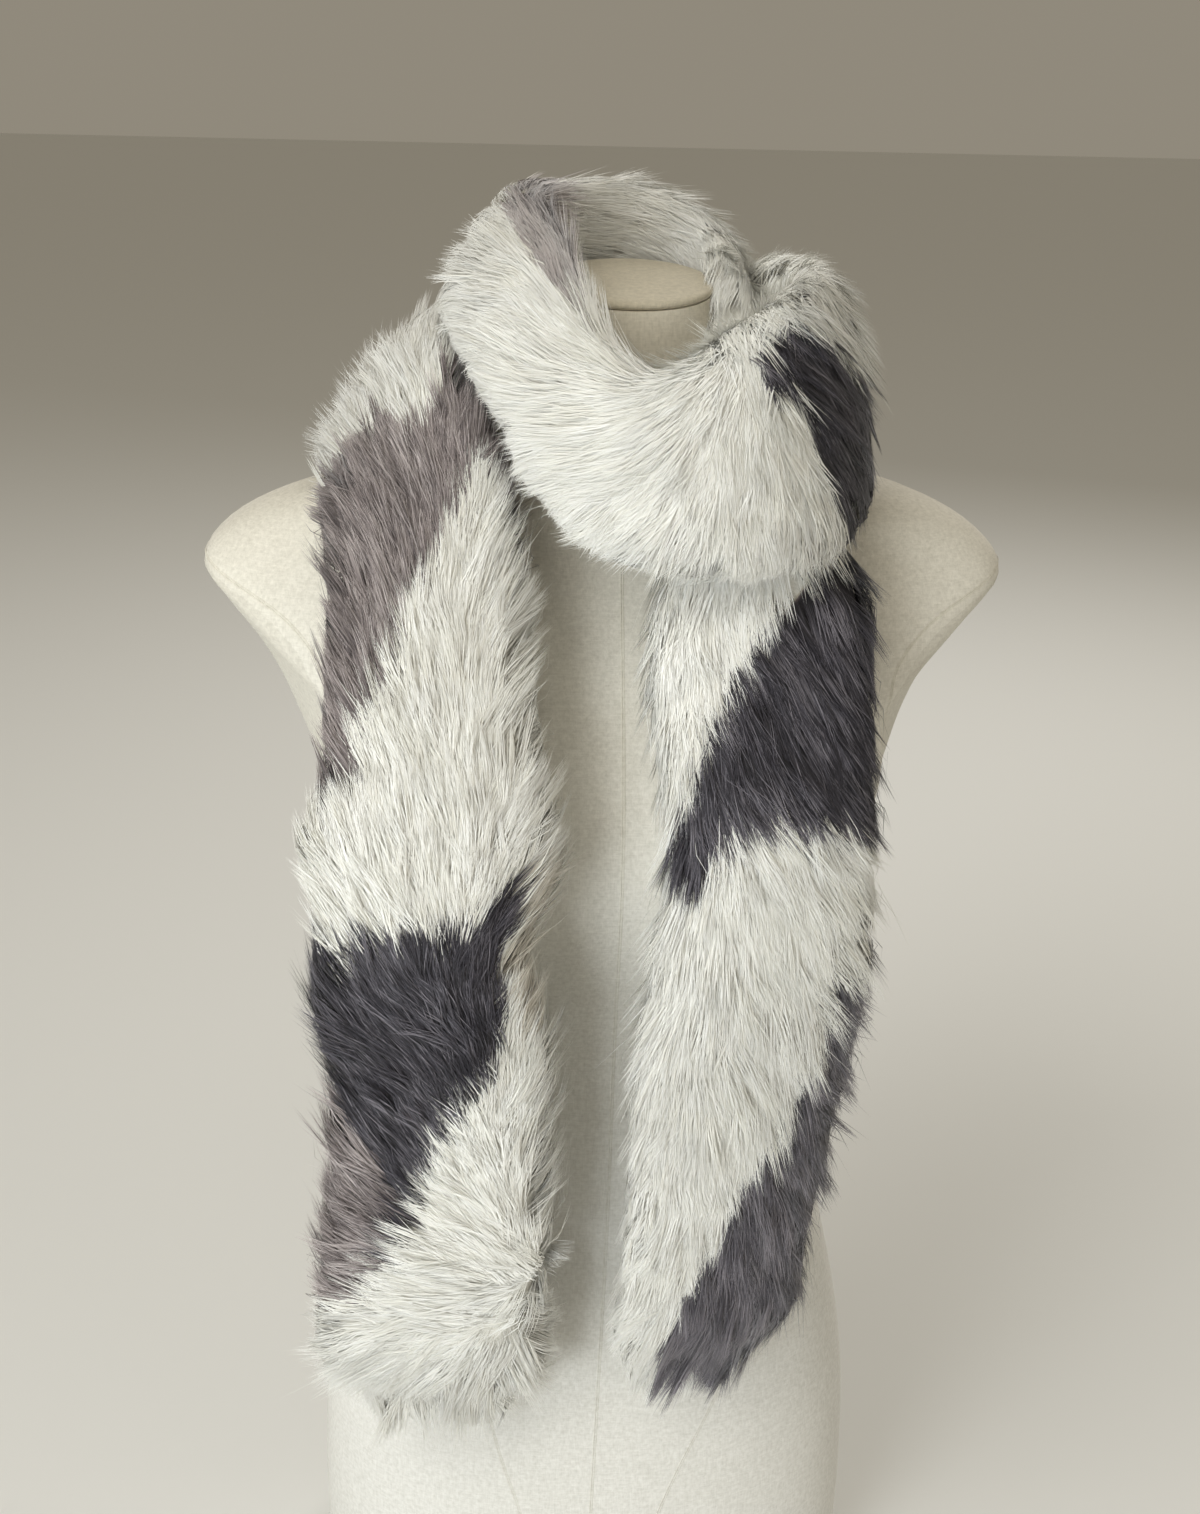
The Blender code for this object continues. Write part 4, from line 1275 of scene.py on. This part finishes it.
def armhole_mesh(name, tree, side):
    """The panel in an armhole: it swells a little over the cover and sinks into it at its seam."""
    points = []
    for circle in range(ARMHOLE_CIRCLES + 1):
        reach = circle / ARMHOLE_CIRCLES
        height = (ARMHOLE_SWELL * (1 - reach**4) - ARMHOLE_SINK * reach**4) * MM
        for spoke in range(ARMHOLE_SPOKES if circle else 1):
            place, normal = on_armhole(tree, side, reach, 2 * math.pi * spoke / ARMHOLE_SPOKES)
            points.append(place + normal * height)
    faces = []
    for spoke in range(ARMHOLE_SPOKES):
        after = (spoke + 1) % ARMHOLE_SPOKES
        faces.append((0, 1 + spoke, 1 + after))
        for circle in range(1, ARMHOLE_CIRCLES):
            low = 1 + (circle - 1) * ARMHOLE_SPOKES
            high = low + ARMHOLE_SPOKES
            faces.append((low + spoke, high + spoke, high + after, low + after))
    if side < 0:
        faces = [face[::-1] for face in faces]
    return smooth_mesh(name, points, faces)


def seam_mesh(name, paths):
    """Narrow welts with a stitched dip between them, along each path."""
    points = []
    faces = []
    across = len(SEAM_PROFILE)
    for path in paths:
        base = len(points)
        for k, (place, normal) in enumerate(path):
            forward = (path[min(k + 1, len(path) - 1)][0] - path[max(k - 1, 0)][0]).normalized()
            sideways = forward.cross(normal).normalized()
            for shift, height in SEAM_PROFILE:
                points.append(place + sideways * shift * MM + normal * height * MM)
        for k in range(len(path) - 1):
            for i in range(across - 1):
                low = base + k * across + i
                faces.append((low, low + 1, low + 1 + across, low + across))
    return smooth_mesh(name, points, faces)


def cap_mesh(name):
    """The turned disc on the neck, finer than its solid."""
    z = FORM_SECTIONS[-1][0]
    middle_x, middle_y, tilt = FORM_SECTIONS[-1][-3:]
    flat_radius = CAP_RADIUS - CAP_EDGE
    half_height = CAP_THICKNESS / 2
    profile = [(0.0, CAP_THICKNESS + CAP_DOME)]
    for i in range(1, CAP_CIRCLES + 1):
        r = flat_radius * i / CAP_CIRCLES
        profile.append((r, CAP_THICKNESS + CAP_DOME * (1 - (r / CAP_RADIUS) ** 2)))
    for i in range(1, CAP_EDGE_STEPS + 1):
        angle = math.pi / 2 * (1 - 2 * i / CAP_EDGE_STEPS)
        profile.append((flat_radius + CAP_EDGE * math.cos(angle), half_height * (1 + math.sin(angle))))
    profile.append((0.0, 0.0))
    work = bmesh.new()
    corners = [work.verts.new((r, 0.0, h)) for r, h in profile]
    for a, b in zip(corners, corners[1:]):
        work.edges.new((a, b))
    bmesh.ops.spin(
        work, geom=work.verts[:] + work.edges[:], cent=(0, 0, 0), axis=(0, 0, 1),
        angle=2 * math.pi, steps=CAP_SEGMENTS, use_merge=True,
    )
    bmesh.ops.remove_doubles(work, verts=work.verts, dist=0.001 * MM)
    bmesh.ops.recalc_face_normals(work, faces=work.faces)
    lift = Matrix.Translation((middle_x, middle_y, z + CAP_GAP / math.cos(math.radians(tilt))))
    work.transform(lift @ Matrix.Rotation(math.radians(tilt), 4, "X"))
    mesh = bpy.data.meshes.new(name)
    work.to_mesh(mesh)
    work.free()
    mesh.shade_smooth()
    mesh.set_sharp_from_angle(angle=SHARP_ANGLE)
    return mesh


def dress_form():
    """The torso, the neck cap and the armhole panels, and the seams between their covers."""
    canvas = {kind: canvas_material("canvas_" + kind, *pair) for kind, pair in CANVAS_COLOURS.items()}
    torso = add_piece("form_cover", torso_mesh("form_cover"), canvas["cover"])
    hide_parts("form_torso")
    cap = add_piece("form_cap_cover", cap_mesh("form_cap_cover"), canvas["cap"])
    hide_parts("form_neck_cap")
    tree = mesh_tree(torso.data)
    paths = [seam_path(CENTRE_SEAM, tree, -1), seam_path(BACK_SEAM, tree, 1)]
    paths += [seam_path(table, tree, -1) for table in LOW_SEAMS]
    turns = [2 * math.pi * i / ARMHOLE_SPOKES for i in range(ARMHOLE_SPOKES + 1)]
    for side, word in ((-1, "left"), (1, "right")):
        paths.append([on_armhole(tree, side, 1.0, turn) for turn in turns])
        name = "form_armhole_" + word
        panel = add_piece(name, armhole_mesh(name, tree, side), canvas["plate"])
        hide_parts("form_arm_plate_" + word)
    seams = add_piece("form_seams", seam_mesh("form_seams", paths), canvas["welt"])


def scarf():
    """Each stretch of the scarf: a pelt that stands for its solid, and the pile on it."""
    rings, starts, along = settled_rings()
    tube = Tube(touched(rings, along), along)
    trees = [mesh_tree(node.data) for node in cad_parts.values()]
    open_share = blurred(openness(tube, rings.shape, trees))
    fur = fur_material("long_pile")
    hide = pelt_material("pelt")
    share = 1.0
    last_ring = len(rings) - 1
    for number, name in enumerate(SCARF_ROUTE):
        first, last = starts[number], starts[number + 1]
        low = first + HEM_RINGS if number == 0 else first
        high = last - HEM_RINGS if last == last_ring else last
        pelt = add_piece(name + "_pelt", pelt_mesh(name + "_pelt", tube, low, high), hide)
        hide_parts(name)
        parts = math.ceil(STRANDS[name] / MOST_STRANDS_A_PIECE)
        bounds = np.linspace(first, last, parts + 1).astype(int)
        for part, (start, stop) in enumerate(zip(bounds, bounds[1:])):
            grown = grow_pile(tube, open_share, start, stop, int(STRANDS[name] * share / parts))
            pile_name = f"{name}_pile_{part + 1}"
            pile = add_piece(pile_name, strand_mesh(pile_name, *grown), fur)


def studio():
    """A plain pale floor and soft lights, the largest from the upper left of the front."""
    work = bmesh.new()
    bmesh.ops.create_grid(work, x_segments=1, y_segments=1, size=FLOOR_SIZE / 2)
    mesh = bpy.data.meshes.new("floor")
    work.to_mesh(mesh)
    work.free()
    floor = bpy.data.objects.new("floor", mesh)
    floor.location.z = -FLOOR_DROP
    bpy.context.scene.collection.objects.link(floor)
    paint = Shader("floor_paint", roughness=0.9)
    paint.shader.inputs["Base Color"].default_value = FLOOR_COLOUR
    mesh.materials.append(paint.material)
    for name, place, aim, size, power, colour in LIGHTS:
        data = bpy.data.lights.new(name, "AREA")
        data.shape = "DISK"
        data.size = size
        data.energy = power
        data.color = colour
        light = bpy.data.objects.new(name, data)
        light.location = place
        light.rotation_mode = "QUATERNION"
        light.rotation_quaternion = (Vector(aim) - Vector(place)).to_track_quat("-Z", "Y")
        bpy.context.scene.collection.objects.link(light)
    world = bpy.data.worlds.new("studio_air")
    world.use_nodes = True
    world.node_tree.nodes["Background"].inputs["Color"].default_value = WORLD_COLOUR
    world.node_tree.nodes["Background"].inputs["Strength"].default_value = WORLD_STRENGTH
    bpy.context.scene.world = world
    bpy.context.scene.view_settings.view_transform = "Standard"


def camera():
    """The photograph's view: the camera is turned about the form, tipped down and rolled a little."""
    yaw, pitch, roll = (math.radians(x) for x in (CAMERA_YAW, CAMERA_PITCH, CAMERA_ROLL))
    data = bpy.data.cameras.new("photo_camera")
    data.sensor_fit = "VERTICAL"
    data.sensor_height = SENSOR_HEIGHT
    data.sensor_width = SENSOR_HEIGHT
    data.lens = SENSOR_HEIGHT * CAMERA_FOCUS_PIXELS / FRAME_HEIGHT
    view = bpy.data.objects.new("photo_camera", data)
    turn = Matrix.Rotation(yaw, 4, "Z") @ Matrix.Rotation(math.pi / 2 - pitch, 4, "X")
    place = (CAMERA_DISTANCE * math.sin(yaw), -CAMERA_DISTANCE * math.cos(yaw), CAMERA_HEIGHT)
    view.matrix_world = Matrix.Translation(place) @ turn @ Matrix.Rotation(roll, 4, "Z")
    bpy.context.scene.collection.objects.link(view)
    bpy.context.scene.camera = view


camera()
studio()
dress_form()
scarf()
